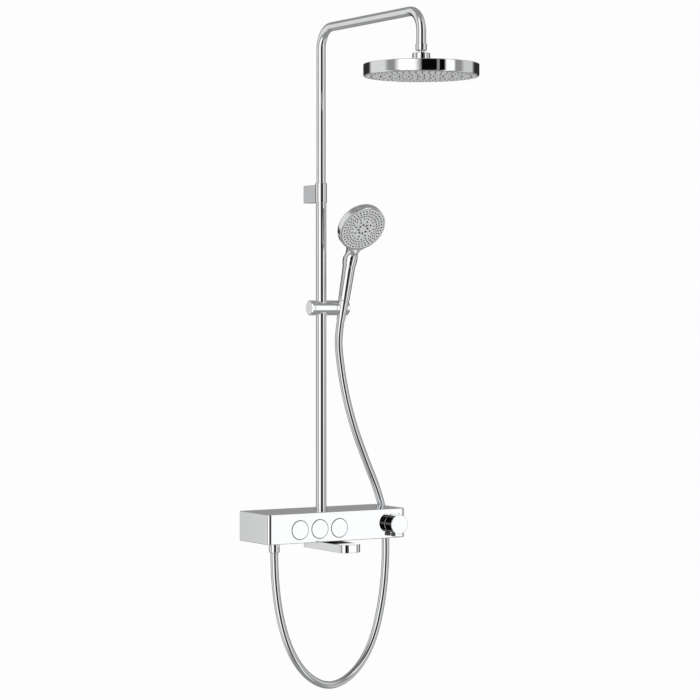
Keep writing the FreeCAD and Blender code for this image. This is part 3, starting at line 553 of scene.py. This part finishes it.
def coil_spring_tree() -> bpy.types.NodeTree:
    """A coil spring of round wire that stands on its foot."""
    made = bpy.data.node_groups.get("coil_spring")
    if made:
        return made
    tree, start = new_tree("coil_spring", [
        ("Radius", "NodeSocketFloat"), ("Wire radius", "NodeSocketFloat"), ("Length", "NodeSocketFloat"),
        ("Turns", "NodeSocketFloat"), ("Material", "NodeSocketMaterial"),
    ])
    given = start.outputs
    coil = add_node(tree, "GeometryNodeCurveSpiral", {
        "Resolution": 28, "Rotations": given["Turns"], "Start Radius": given["Radius"],
        "End Radius": given["Radius"], "Height": given["Length"]})
    wire = add_node(tree, "GeometryNodeCurvePrimitiveCircle",
                    {"Resolution": 10, "Radius": given["Wire radius"]})
    skin = add_node(tree, "GeometryNodeCurveToMesh", {"Curve": coil.outputs["Curve"],
                                                      "Profile Curve": wire.outputs["Curve"],
                                                      "Fill Caps": True})
    finish_tree(tree, start, skin.outputs["Mesh"])
    return tree


# ---------------------------------------------------------------- camera and studio
@dataclass
class Viewpoint:
    """The camera, low and to the left, a few metres off."""

    place: Point = (-2.537, -4.2946, 0.4535)
    turn: float = -31.6
    dip: float = 1.02
    lens: float = 120.96

    def build(self) -> None:
        """Make the camera and set it as the scene's."""
        data = bpy.data.cameras.new("studio_camera")
        data.lens = self.lens
        data.sensor_width = 36.0
        camera = bpy.data.objects.new("studio_camera", data)
        camera.location = self.place
        camera.rotation_euler = (math.radians(90 - self.dip), 0.0, math.radians(self.turn))
        bpy.context.scene.collection.objects.link(camera)
        bpy.context.scene.camera = camera
        log.info("camera at %s", self.place)


@dataclass(frozen=True)
class Screen:
    """A tall screen or flag that stands round the object.

    Attributes:
        name: What it is called.
        middle: Degrees round the room from the front, positive to the right.
        half: Half its width in degrees.
        edge: Degrees over which it fades into the room.
        brightness: How bright chrome shows it, from 0 to 255.
    """

    name: str
    middle: float
    half: float
    edge: float
    brightness: float


@dataclass
class Studio:
    """A pale floor, soft lamps, and the grey room with white screens and black flags that chrome mirrors."""

    towards_front: Point = (-0.524, -0.852, 0.0)
    towards_right: Point = (0.852, -0.524, 0.0)
    floor_height: float = -0.62
    floor_radius: float = 1.25
    brightest: float = 1.6
    chrome_return: float = 0.84
    room: float = 140.0
    screens: tuple[Screen, ...] = (
        Screen("far_left_screen", -100, 20, 10, 215),
        Screen("left_screen", -30, 15, 12, 260),
        Screen("flag", 14, 15, 1, 8),
        Screen("small_flag", 40, 5, 1, 8),
        Screen("right_screen", 58, 8, 4, 255),
        Screen("far_right_screen", 105, 12, 10, 200),
    )
    # Degrees from level where the screens begin to give way to the plain room, and where they have.
    screen_ends: tuple[float, float] = (40.0, 60.0)
    # The two dark cards behind: degrees from straight behind over which the gap between them ends, and over
    # which they end; their lower and upper edge and its softness in degrees; the share of light left there.
    card_gap: tuple[float, float] = (8.0, 16.0)
    card_fade: tuple[float, float] = (50.0, 64.0)
    card_heights: tuple[float, float] = (-13.0, 8.0)
    card_edge: float = 2.0
    card_share: float = 0.1

    def grey(self, brightness: float) -> float:
        """Light to send for chrome to show a brightness, as a share of the brightest."""
        share = brightness / 255
        return ((share + 0.055) / 1.055) ** 2.4 / self.chrome_return / self.brightest

    def screen_light(self, tree: bpy.types.NodeTree, share: bpy.types.NodeSocket) -> bpy.types.NodeSocket:
        """The light of the screens and the room between them.

        Args:
            tree: The world's node tree.
            share: The direction round the room as a share of a full turn.

        Returns:
            The light's socket.
        """
        stops = []
        for screen in self.screens:
            reach = screen.half + screen.edge
            stops += [(screen.middle - reach, self.room), (screen.middle - screen.half, screen.brightness),
                      (screen.middle + screen.half, screen.brightness), (screen.middle + reach, self.room)]
        ramp = add_node(tree, "ShaderNodeValToRGB", {"Fac": share})
        fill_ramp(ramp, [((deg + 180) / 360, self.grey(v)) for deg, v in stops])
        return ramp.outputs["Color"]

    def rise(self, tree: bpy.types.NodeTree, value: bpy.types.NodeSocket, low: float,
             high: float) -> bpy.types.NodeSocket:
        """A share that goes from none to all as an angle rises.

        Args:
            tree: The world's node tree.
            value: The angle in radians.
            low: Degrees where the share is still none.
            high: Degrees where it is all.

        Returns:
            The share's socket.
        """
        return add_node(tree, "ShaderNodeMapRange", {
            "Value": value, "From Min": math.radians(low), "From Max": math.radians(high)},
            interpolation_type="SMOOTHSTEP").outputs["Result"]

    def build(self) -> None:
        """Make the room, the floor and the lamps."""
        scene = bpy.context.scene
        scene.view_settings.view_transform = "Standard"
        world = bpy.data.worlds.new("studio")
        scene.world = world
        world.use_nodes = True
        tree = world.node_tree
        tree.nodes.clear()
        ray = add_node(tree, "ShaderNodeTexCoord").outputs["Generated"]
        front = add_node(tree, "ShaderNodeVectorMath", {0: ray, 1: self.towards_front},
                         operation="DOT_PRODUCT")
        right = add_node(tree, "ShaderNodeVectorMath", {0: ray, 1: self.towards_right},
                         operation="DOT_PRODUCT")
        up = add_node(tree, "ShaderNodeSeparateXYZ", {0: ray}).outputs["Z"]
        height = add_node(tree, "ShaderNodeMath", {0: up}, operation="ARCSINE").outputs[0]
        round_room = add_node(tree, "ShaderNodeMath", {0: right.outputs["Value"], 1: front.outputs["Value"]},
                              operation="ARCTAN2")
        round_share = add_node(tree, "ShaderNodeMath",
                               {0: round_room.outputs[0], 1: 1 / (2 * math.pi), 2: 0.5},
                               operation="MULTIPLY_ADD").outputs[0]
        steep = add_node(tree, "ShaderNodeMath", {0: height}, operation="ABSOLUTE").outputs[0]
        plain = add_node(tree, "ShaderNodeMix", {
            0: self.rise(tree, steep, *self.screen_ends), 6: self.screen_light(tree, round_share),
            7: (*[self.grey(self.room)] * 3, 1.0)}, data_type="RGBA").outputs[2]
        away = add_node(tree, "ShaderNodeMath", {0: front.outputs["Value"], 1: -1.0}, operation="MULTIPLY")
        from_back = add_node(tree, "ShaderNodeMath", {0: away.outputs[0]}, operation="ARCCOSINE").outputs[0]
        beside = self.rise(tree, from_back, *self.card_fade)
        between = add_node(tree, "ShaderNodeMath", {
            0: 1.0, 1: self.rise(tree, from_back, *self.card_gap)}, operation="SUBTRACT").outputs[0]
        low, high = self.card_heights
        under = add_node(tree, "ShaderNodeMath", {
            0: 1.0, 1: self.rise(tree, height, low - self.card_edge, low)}, operation="SUBTRACT").outputs[0]
        over = self.rise(tree, height, high, high + self.card_edge)
        clear = beside
        for past in (between, under, over):
            clear = add_node(tree, "ShaderNodeMath", {0: clear, 1: past}, operation="MAXIMUM").outputs[0]
        share = add_node(tree, "ShaderNodeMapRange",
                         {"Value": clear, "To Min": self.card_share}).outputs["Result"]
        lit = add_node(tree, "ShaderNodeVectorMath", {0: plain, "Scale": share}, operation="SCALE")
        mirrored = add_node(tree, "ShaderNodeBackground", {"Color": lit.outputs["Vector"],
                                                           "Strength": self.brightest})
        seen = add_node(tree, "ShaderNodeBackground", {"Color": colour("#FDFDFD"), "Strength": 1.0})
        straight = add_node(tree, "ShaderNodeLightPath").outputs["Is Camera Ray"]
        either = add_node(tree, "ShaderNodeMixShader", {0: straight, 1: mirrored.outputs["Background"],
                                                        2: seen.outputs["Background"]})
        add_node(tree, "ShaderNodeOutputWorld", {"Surface": either.outputs["Shader"]})
        self.build_floor()
        self.build_lamps()

    def build_floor(self) -> None:
        """Make the round pale floor, which the chrome itself doesn't mirror."""
        disc = turned_mesh("floor", [(0, 0), (self.floor_radius / MM, 0), (self.floor_radius / MM, -20),
                                     (0, -20)],
                           96, Matrix.Translation((0, 0, self.floor_height)))
        disc.materials.append(STUDIO_FLOOR.material())
        floor = mesh_object("studio_floor", disc)
        floor.visible_glossy = False
        floor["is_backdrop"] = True

    def build_lamps(self) -> None:
        """Make the large soft lamps, which light the plastics and the floor but aren't mirrored."""
        for name, place, aim, size, power in (
                ("key_lamp", (-3.0, -3.2, 3.4), (0.0, -0.2, 0.3), 2.4, 70.0),
                ("fill_lamp", (3.2, -3.4, 1.6), (0.0, -0.2, 0.2), 2.6, 40.0)):
            lamp = bpy.data.lights.new(name, "AREA")
            lamp.shape = "SQUARE"
            lamp.size = size
            lamp.energy = power
            item = bpy.data.objects.new(name, lamp)
            item.location = place
            item.rotation_euler = (Vector(place) - Vector(aim)).to_track_quat("Z", "Y").to_euler()
            item.visible_glossy = False
            item.visible_camera = False
            bpy.context.scene.collection.objects.link(item)


# ---------------------------------------------------------------- hose
@dataclass
class HosePiece:
    """One stretch of the hose between two points where the bodies change.

    Attributes:
        node: The node it stands for.
        top: Height in metres that it ends at, on the way up to the cone nut.
        bodies: The one body it rides on, or the two that it runs between.
        bend: Heights in metres where the bend starts and ends.
    """

    node: str
    top: float
    bodies: tuple[str, ...]
    bend: tuple[float, float] | None = None


@dataclass
class ShowerHose:
    """The hanging hose from the mixer's outlet up to the hand shower's cone nut."""

    radius: float = 8.0
    ridge_pitch: float = 2.4
    ridge_height: float = 0.05
    sides: int = 32
    route: tuple[Point, ...] = (
        (-0.125, -0.075, -0.053), (-0.125, -0.075, -0.100), (-0.111, -0.072, -0.190),
        (-0.081, -0.066, -0.267),
        (-0.033, -0.056, -0.323), (0.030, -0.043, -0.350), (0.095, -0.029, -0.330), (0.147, -0.018, -0.276),
        (0.177, -0.012, -0.192), (0.190, -0.010, -0.097), (0.188, -0.010, -0.005), (0.1685, -0.011, 0.061),
        (0.130, -0.022, 0.130), (0.092, -0.033, 0.205), (0.065, -0.042, 0.280), (0.0505, -0.046, 0.350),
        (0.0465, -0.04741, 0.39214), (0.0465, -0.05792, 0.42808),
    )
    pieces: tuple[HosePiece, ...] = (
        HosePiece("hose_main", -0.051, ("root",)),
        HosePiece("hose_rise", 0.290, ("root", "slider_carriage"), (0.0, 0.240)),
        HosePiece("hose_turn", 0.345, ("slider_carriage", "slider"), (0.290, 0.345)),
        HosePiece("hose_tilt", 0.390, ("slider", "holder"), (0.345, 0.390)),
        HosePiece("hose_top", 0.430, ("holder", "handset"), (0.390, 0.423)),
    )

    def centre_line(self) -> list[Vector]:
        """Points of the route's smooth line, from the outlet to the cone nut."""
        data = bpy.data.curves.new("hose_route", "CURVE")
        data.dimensions = "3D"
        spline = data.splines.new("NURBS")
        spline.points.add(len(self.route) - 1)
        for point, place in zip(spline.points, self.route):
            point.co = (*place, 1.0)
        spline.order_u = 3
        spline.use_endpoint_u = True
        spline.resolution_u = 40
        item = bpy.data.objects.new("hose_route", data)
        bpy.context.scene.collection.objects.link(item)
        bpy.context.view_layer.update()
        line = bpy.data.meshes.new_from_object(item)
        points = [vertex.co.copy() for vertex in line.vertices]
        bpy.data.objects.remove(item)
        bpy.data.meshes.remove(line)
        return points

    def build(self, frame: dict[str, Any]) -> None:
        """Args:
            frame: The loaded frame, which is not used.
        """
        points = self.centre_line()
        travelled = 0.0
        first = 0
        for piece in self.pieces:
            last = max(k for k, point in enumerate(points) if point.z <= piece.top)
            line = points[first:last + 1]
            first = last
            base = bpy.data.meshes.new(piece.node + "_line")
            base.from_pydata([tuple(p) for p in line], [(k, k + 1) for k in range(len(line) - 1)], [])
            mesh = run_tree(ridged_hose_tree(), base, {
                "Radius": self.radius * MM, "Ridge height": self.ridge_height * MM,
                "Ridge pitch": self.ridge_pitch * MM, "Start": travelled, "Step": self.ridge_pitch * MM / 6,
                "Sides": self.sides, "Material": HOSE_SLEEVE.material()})
            item = mesh_object(piece.node + "_ridged", mesh)
            if piece.bend is None:
                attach(item, piece.bodies[0])
            else:
                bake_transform(item)
            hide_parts(piece.node)
            length = sum((b - a).length for a, b in zip(line, line[1:]))
            travelled += length
            log.info("%s: %.1f mm, %d faces", item.name, length / MM, len(mesh.polygons))
        log.info("hose: %.1f mm in all", travelled / MM)


# ---------------------------------------------------------------- mixer, riser, slider
@dataclass
class ShelfMixer:
    """The mixer: chromed housing, buttons, knob and spout, with the brass and plastic inside."""

    chrome: tuple[str, ...] = (
        "push_button_left", "push_button_middle", "push_button_right", "temperature_knob", "knob_tab",
        "spout_bar", "spout_stem", "aerator_ring", "lower_hose_nut",
    )
    brass: tuple[str, ...] = ("valve_manifold", "union_nuts", "inlet_unions", "hose_outlet_fitting",
                              "knob_stem")
    stainless: tuple[str, ...] = ("plate_screws", "back_plate", "button_springs")
    white: tuple[str, ...] = ("flow_cartridges", "thermostat_cartridge", "spout_socket", "spout_washer")
    black: tuple[str, ...] = ("temperature_stop_ring", "aerator_insert", "index_mark")
    rubber: tuple[str, ...] = ("spout_o_rings",)
    button_bodies: tuple[str, ...] = ("button_left", "button_middle", "button_right")
    spring_foot: float = -101.6
    spring_length: float = 19.3
    spring_radius: float = 6.0
    spring_wire: float = 0.5
    spring_turns: float = 4.0
    front: float = -123.0
    button_x: tuple[float, ...] = (-91.0, -43.7, 3.5)
    button_z: float = -3.5
    # Inner and outer radius in millimetres of the painted shade ring in each button's gap.
    gap_shade_inner: float = 19.45
    gap_shade_outer: float = 20.5

    def build(self, frame: dict[str, Any]) -> None:
        """Dress the mixer's nodes."""
        dress(frame, HOUSING_CHROME, "mixer_housing")
        dress(frame, POLISHED_CHROME, *self.chrome)
        dress(frame, TURNED_BRASS, *self.brass)
        dress(frame, BRUSHED_STAINLESS, *self.stainless)
        dress(frame, MOULDED_ACETAL, *self.white)
        dress(frame, BLACK_POLYAMIDE, *self.black)
        dress(frame, NITRILE_RUBBER, *self.rubber)
        # Dark rings of painted shade in the gaps round the buttons.
        self.build_button_gap_shades()
        for x, body in zip(self.button_x, self.button_bodies):
            self.build_spring(x, body)

    def build_spring(self, x: float, body: str) -> None:
        """Make one button's return spring at its rest length, though the real spring shortens as its button
        goes in.

        Args:
            x: The button's place along the wall in millimetres.
            body: The button's body.
        """
        mesh = run_tree(coil_spring_tree(), bpy.data.meshes.new("spring_base"), {
            "Radius": self.spring_radius * MM, "Wire radius": self.spring_wire * MM,
            "Length": self.spring_length * MM, "Turns": self.spring_turns,
            "Material": BRUSHED_STAINLESS.material()})
        mesh.transform(Matrix.Translation(Vector((x, self.spring_foot, self.button_z)) * MM) @
                       Matrix.Rotation(math.pi / 2, 4, "X"))
        spring = mesh_object(body + "_return_spring", mesh)
        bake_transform(spring)
        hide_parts("button_springs")
        log.info("%s: %d faces", spring.name, len(mesh.polygons))

    def build_button_gap_shades(self) -> None:
        """Make the dark rings of painted shade that fill the shadow gaps round the three button openings, as
        thin black rubber rings.
        """
        inner, outer = self.gap_shade_inner, self.gap_shade_outer
        section = [(inner, -0.8), (inner, 0.05), (inner + 0.2, 0.14), (outer - 0.2, 0.14), (outer, 0.0),
                   (outer, -0.8), (inner, -0.8)]
        rings = []
        for x in self.button_x:
            place = Matrix.Translation(Vector((x, self.front, self.button_z)) * MM) @ \
                Matrix.Rotation(math.pi / 2, 4, "X")
            ring = turned_mesh("seal", section, 96, place)
            # Painted shade: a black rubber ring stands in each button's shadow gap.
            ring.materials.append(NITRILE_RUBBER.material())
            rings.append(ring)
        gap_shades = mesh_object("button_gap_painted_shade", joined_mesh("button_gap_painted_shade", rings))
        smooth_by_angle(gap_shades.data, 30)
        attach(gap_shades, "root")
        log.info("button gap shades: %d faces", len(gap_shades.data.polygons))


@dataclass
class Riser:
    """The riser, its wall bracket, and the telescopic tube with the shower arm."""

    chrome: tuple[str, ...] = (
        "riser_lower_tube", "bracket_collar", "riser_upper_tube", "neck_nut",
    )
    brass: tuple[str, ...] = ("riser_base_fitting",)
    stainless: tuple[str, ...] = ("bracket_anchor", "bracket_set_screw")
    white: tuple[str, ...] = ("riser_gland", "riser_guide_bush")

    def build(self, frame: dict[str, Any]) -> None:
        """Dress the riser's nodes."""
        dress(frame, POLISHED_CHROME, *self.chrome)
        dress(frame, SATIN_CHROME, "bracket_block")
        dress(frame, TURNED_BRASS, *self.brass)
        dress(frame, BRUSHED_STAINLESS, *self.stainless)
        dress(frame, MOULDED_ACETAL, *self.white)


@dataclass
class Slider:
    """The slider on the riser with its clamp knob and tilting holder."""

    chrome: tuple[str, ...] = ("slider_body", "lock_knob", "hand_shower_holder")
    stainless: tuple[str, ...] = ("holder_pivot_pin",)
    white: tuple[str, ...] = ("slider_bush",)

    def build(self, frame: dict[str, Any]) -> None:
        """Dress the slider's nodes."""
        dress(frame, POLISHED_CHROME, *self.chrome)
        dress(frame, BRUSHED_STAINLESS, *self.stainless)
        dress(frame, MOULDED_ACETAL, *self.white)


# ---------------------------------------------------------------- spray plates
@dataclass
class NozzleRing:
    """One ring of nozzles on a spray plate, in millimetres."""

    radius: float
    count: int
    nozzle: float
    height: float = 1.0
    stretch: float = 1.0
    phase: float = 0.0

    def mesh(self) -> bpy.types.Mesh:
        """The ring's nozzles, standing on the plane Z = 0 and pointing up Z."""
        base = bpy.data.meshes.new("ring_base")
        return run_tree(nozzle_ring_tree(), base, {
            "Ring radius": self.radius * MM, "Count": self.count, "Nozzle radius": self.nozzle * MM,
            "Nozzle height": self.height * MM, "Stretch": self.stretch, "Phase": math.radians(self.phase),
            "Material": NOZZLE_SILICONE.material()})


@dataclass
class RainHead:
    """The overhead head: chromed shell, swivel, and a grey plate with rings of silicone nozzles."""

    centre: Point = (0.0, -0.437, 0.0)
    plate_bottom: float = 907.2
    plate_top: float = 910.2
    plate_radius: float = 109.8
    rings: int = 6
    first_ring: float = 7.0
    ring_gap: float = 18.4
    nozzle_gap: float = 12.8

    def build(self, frame: dict[str, Any]) -> None:
        """Dress the head's nodes and make its nozzle plate."""
        dress(frame, POLISHED_CHROME, "rain_head_shell", "swivel_collar", "swivel_ball")
        dress(frame, BRUSHED_STAINLESS, "collar_lock_nut")
        dress(frame, MOULDED_ACETAL, "ball_seat_upper", "ball_seat_lower", "water_distributor")
        dress(frame, SPRAY_PLATE_ABS, "rain_nozzle_plate")
        down = Matrix.Translation((self.centre[0], self.centre[1], self.plate_bottom * MM)) @ \
            Matrix.Rotation(math.pi, 4, "X")
        thick = self.plate_top - self.plate_bottom
        edge = self.plate_radius
        profile = [(0, 0.0), (edge - 4.0, 0.0), (edge - 3.2, -0.5), (edge - 2.2, -0.5), (edge - 1.4, 0.0),
                   (edge - 0.4, -0.15), (edge, -0.6), (edge, -thick), (0, -thick)]
        plate = turned_mesh("rain_plate", profile, 160, Matrix.Identity(4))
        smooth_by_angle(plate, 25)
        plate.materials.append(SPRAY_PLATE_ABS.material())
        parts = [plate]
        for k in range(self.rings):
            radius = self.first_ring + k * self.ring_gap
            count = max(5, round(2 * math.pi * radius / self.nozzle_gap))
            parts.append(NozzleRing(radius, count, 1.3, 1.1, 1.0, 17.0 * k).mesh())
        mesh = joined_mesh("rain_plate_with_nozzles", parts)
        mesh.transform(down)
        item = mesh_object("rain_plate_with_nozzles", mesh)
        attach(item, "rain_head")
        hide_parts("rain_nozzle_plate")
        log.info("rain plate: %d faces", len(mesh.polygons))


# ---------------------------------------------------------------- hand shower
Distance = Callable[[np.ndarray], np.ndarray]


def blend_least(a: np.ndarray, b: np.ndarray, reach: float | np.ndarray) -> np.ndarray:
    """Smooth union of two distances, as a casting's fillet has it."""
    share = np.clip(0.5 + 0.5 * (b - a) / reach, 0, 1)
    return b + (a - b) * share - reach * share * (1 - share)


@dataclass
class HandShower:
    """The hand shower: one flowing chromed shell, and a grey face with silicone nozzles."""

    grip: Point = (46.5, -65.5, 454.0)
    handle_tilt: float = 16.3
    handle_start: float = 18.2
    handle_end: float = 118.0
    start_radius: float = 12.0
    end_radius: float = 13.6
    head_centre: Point = (46.5, -147.0, 617.0)
    head_angle: float = 34.0
    head_radius: float = 52.0
    head_thick: float = 21.0
    back_round: float = 8.0
    rim_round: float = 1.6
    neck_round: float = 6.0
    neck_fade: float = 5.0
    front_clear: float = 1.5
    # How far short of the handle's end its stump stops and the neck's bar starts, and the bar's own end,
    # up the face from the head's middle and back from it.
    stump_short: float = 7.0
    bar_short: float = 16.0
    bar_on_head: tuple[float, float] = (-30.0, 14.5)
    bar_thinner: tuple[float, float] = (0.3, 1.2)
    stem_blend: float = 7.0
    face_radius: float = 48.5
    recess: float = 13.0
    flare: float = 15.0
    voxel: float = 1.1
    rings: tuple[NozzleRing, ...] = (
        NozzleRing(10.2, 8, 1.9, 1.1, 1.4, 10.0), NozzleRing(18.2, 8, 1.7, 1.0, 1.2, 32.5),
        NozzleRing(25.2, 18, 1.45, 0.9, 1.0, 0.0), NozzleRing(31.2, 36, 1.4, 0.9, 1.0, 3.0),
        NozzleRing(37.2, 36, 1.5, 0.9, 1.0, 5.0), NozzleRing(43.2, 36, 1.6, 0.9, 1.0, 7.0),
    )

    @property
    def handle_axis(self) -> np.ndarray:
        """Direction up the handle."""
        tilt = math.radians(self.handle_tilt)
        return np.array([0.0, -math.sin(tilt), math.cos(tilt)])

    @property
    def normal(self) -> np.ndarray:
        """Direction that the spray face looks in."""
        angle = math.radians(self.head_angle)
        return np.array([0.0, -math.cos(angle), -math.sin(angle)])

    @property
    def face_up(self) -> np.ndarray:
        """Direction up the spray face."""
        angle = math.radians(self.head_angle)
        return np.array([0.0, -math.sin(angle), math.cos(angle)])

    def along_handle(self, distance: float) -> np.ndarray:
        """A point of the handle's axis."""
        return np.array(self.grip) + self.handle_axis * distance

    def on_head(self, up: float, back: float) -> np.ndarray:
        """A point of the head: up its face and back from it."""
        return np.array(self.head_centre) + self.face_up * up - self.normal * back

    def stump(self, p: np.ndarray, start: np.ndarray, end: np.ndarray, r0: float, r1: float,
              wide: tuple[float, float] = (1.0, 1.0)) -> np.ndarray:
        """Distance to a round-edged cone stump whose section may widen along X.

        Args:
            p: Points, one row each.
            start: Start of the axis.
            end: End of the axis.
            r0: Radius at the start.
            r1: Radius at the end.
            wide: Stretch of the section along X at the start and the end.

        Returns:
            About the distance of each point, negative inside.
        """
        axis = end - start
        length = float(np.linalg.norm(axis))
        axis = axis / length
        rel = p - start
        s = rel @ axis
        t = np.clip(s / length, 0, 1)
        radial = rel - np.outer(s, axis)
        radial[:, 0] /= wide[0] + (wide[1] - wide[0]) * t
        r = np.linalg.norm(radial, axis=1) - (r0 + (r1 - r0) * t)
        end_gap = np.abs(s - length / 2) - length / 2
        soft = 0.8
        a, b = r + soft, end_gap + soft
        return np.minimum(np.maximum(a, b), 0) + np.hypot(np.maximum(a, 0), np.maximum(b, 0)) - soft

    def bar(self, p: np.ndarray, start: np.ndarray, end: np.ndarray, r0: float, r1: float) -> np.ndarray:
        """Distance to a bar with ball ends."""
        axis = end - start
        t = np.clip((p - start) @ axis / float(axis @ axis), 0, 1)
        return np.linalg.norm(p - start - np.outer(t, axis), axis=1) - (r0 + (r1 - r0) * t)

    def disc(self, p: np.ndarray) -> np.ndarray:
        """Distance to the head's disc, with its back edge well rounded."""
        rel = p - np.array(self.head_centre)
        back = -(rel @ self.normal)
        r = np.linalg.norm(rel + np.outer(back, self.normal), axis=1)
        deep = self.head_thick
        a = r - self.head_radius + self.back_round
        b = np.abs(back - (deep - 20) / 2) - (deep + 20) / 2 + self.back_round
        whole = np.minimum(np.maximum(a, b), 0) + np.hypot(np.maximum(a, 0),
                                                           np.maximum(b, 0)) - self.back_round
        return -blend_least(-whole, back, self.rim_round * 1.8)

    def shell(self, p: np.ndarray) -> np.ndarray:
        """Distance to the whole shell: handle and disc flowing into each other."""
        disc = self.disc(p)
        handle = self.stump(p, self.along_handle(self.handle_start),
                            self.along_handle(self.handle_end - self.stump_short),
                            self.start_radius, self.end_radius)
        neck = self.bar(p, self.along_handle(self.handle_end - self.bar_short),
                        self.on_head(*self.bar_on_head),
                        self.end_radius - self.bar_thinner[0], self.end_radius - self.bar_thinner[1])
        stem = blend_least(handle, neck, self.stem_blend)
        rel = p - np.array(self.head_centre)
        back = -(rel @ self.normal)
        r = np.linalg.norm(rel + np.outer(back, self.normal), axis=1)
        whole = blend_least(disc, stem, self.flare)
        in_front = np.maximum(r - self.head_radius - self.front_clear, back)
        below = np.clip((r - self.head_radius) / self.neck_fade, 0, 1)
        return -blend_least(-whole, in_front, self.rim_round + (self.neck_round - self.rim_round) * below)

    def settle(self, points: np.ndarray) -> np.ndarray:
        """Move points onto the shell's exact surface."""
        step = 0.05
        for _ in range(8):
            value = self.shell(points)
            slope = np.stack([(self.shell(points + step * axis) - self.shell(points - step * axis)) / (2 * step)
                              for axis in np.eye(3)], axis=1)
            size = np.maximum((slope ** 2).sum(axis=1), 0.05)
            move = -(value / size)[:, None] * slope
            reach = np.linalg.norm(move, axis=1, keepdims=True)
            points = points + move * np.minimum(1.0, 1.5 / np.maximum(reach, 1e-9))
        return points

    def turned_along(self, name: str, start: np.ndarray, end: np.ndarray, r0: float,
                     r1: float) -> bpy.types.Mesh:
        """A rough cone stump between two points, in metres."""
        axis = Vector(end - start)
        place = Matrix.Translation(Vector(start) * MM) @ axis.to_track_quat("Z", "Y").to_matrix().to_4x4()
        return turned_mesh(name, [(0, 0), (r0, 0), (r1, axis.length), (0, axis.length)], 48, place)

    def build_shell(self) -> bpy.types.Object:
        """Make the flowing shell, then cut the recess for the face and the waterway's mouth."""
        rough = joined_mesh("shell_rough", [
            self.turned_along("disc", self.on_head(0, 0.4), self.on_head(0, self.head_thick),
                              self.head_radius, 50.0),
            self.turned_along("stem", self.along_handle(self.handle_start),
                              self.along_handle(self.handle_end + 4),
                              self.start_radius, self.end_radius),
            self.turned_along("neck", self.along_handle(self.handle_end - 6), self.on_head(-30, 12), 13.4,
                              12.6),
        ])
        item = mesh_object("hand_shower_shell", rough)
        remesh = item.modifiers.new("skin", "REMESH")
        remesh.mode = "VOXEL"
        remesh.voxel_size = self.voxel * MM
        graph = bpy.context.evaluated_depsgraph_get()
        skin = bpy.data.meshes.new_from_object(item.evaluated_get(graph))
        item.modifiers.clear()
        item.data = skin
        bpy.data.meshes.remove(rough)
        flat = np.empty(len(skin.vertices) * 3)
        skin.vertices.foreach_get("co", flat)
        settled = self.settle(flat.reshape(-1, 3) / MM)
        skin.vertices.foreach_set("co", (settled * MM).ravel())
        skin.update()
        cutter_mesh = self.turned_along("recess", self.on_head(0, -8), self.on_head(0, self.recess),
                                        self.face_radius, self.face_radius)
        mouth = self.turned_along("mouth", self.along_handle(self.handle_start - 4),
                                  self.along_handle(self.handle_start + 33), 8.2, 8.2)
        for cutter_shape in (cutter_mesh, mouth):
            cutter = mesh_object("cutter", cutter_shape)
            cut = item.modifiers.new("cut", "BOOLEAN")
            cut.operation = "DIFFERENCE"
            cut.solver = "EXACT"
            cut.object = cutter
            graph = bpy.context.evaluated_depsgraph_get()
            shaped = bpy.data.meshes.new_from_object(item.evaluated_get(graph))
            item.modifiers.clear()
            item.data = shaped
            bpy.data.objects.remove(cutter)
        shaped.materials.clear()
        shaped.materials.append(POLISHED_CHROME.material())
        smooth_by_angle(shaped, 40)
        log.info("hand shower shell: %d faces", len(shaped.polygons))
        return item

    def build_face(self) -> bpy.types.Object:
        """Make the spray face with its raised rim and nozzles."""
        edge = self.face_radius - 0.25
        profile = [(0, 0.0), (2.2, 0.0), (2.6, 0.35), (3.4, 0.35), (3.8, 0.0), (edge - 1.4, 0.0),
                   (edge - 0.9, 0.05), (edge - 0.25, -0.15), (edge, -0.6), (edge, -3.0), (0, -3.0)]
        plate = turned_mesh("spray_plate", profile, 144, Matrix.Identity(4))
        smooth_by_angle(plate, 25)
        plate.materials.append(SPRAY_PLATE_ABS.material())
        mesh = joined_mesh("spray_face_with_nozzles", [plate] + [ring.mesh() for ring in self.rings])
        up, out = Vector(self.face_up), Vector(self.normal)
        side = up.cross(out)
        turn = Matrix((side, up, out)).transposed().to_4x4()
        place = Matrix.Translation(Vector(self.on_head(0, 0.6)) * MM) @ turn
        mesh.transform(place)
        return mesh_object("spray_face_with_nozzles", mesh)

    def build(self, frame: dict[str, Any]) -> None:
        """Dress the hand shower's nodes and make its shell and face."""
        dress(frame, POLISHED_CHROME, "hose_cone_nut", "handset_shell")
        dress(frame, TURNED_BRASS, "handset_inlet")
        dress(frame, MOULDED_ACETAL, "spray_distributor")
        dress(frame, BLACK_POLYAMIDE, "nozzle_mat")
        dress(frame, SPRAY_PLATE_ABS, "spray_face")
        dress(frame, HOSE_SLEEVE, "hose_main", "hose_rise", "hose_turn", "hose_tilt", "hose_top")
        shell = self.build_shell()
        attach(shell, "handset")
        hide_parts("handset_shell")
        face = self.build_face()
        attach(face, "handset")
        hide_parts("spray_face")


def corners() -> list[list[float]]:
    """The shown object's lowest and highest corner as plain numbers."""
    return [[float(c) for c in corner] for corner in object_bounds()]


def main() -> None:
    """Build the whole shower column in order."""
    logging.basicConfig(level=logging.INFO, format="%(name)s: %(message)s")
    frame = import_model()
    Viewpoint().build()
    ShowerHose().build(frame)
    Studio().build()
    ShelfMixer().build(frame)
    Riser().build(frame)
    Slider().build(frame)
    RainHead().build(frame)
    HandShower().build(frame)


if __name__ == "__main__":
    main()
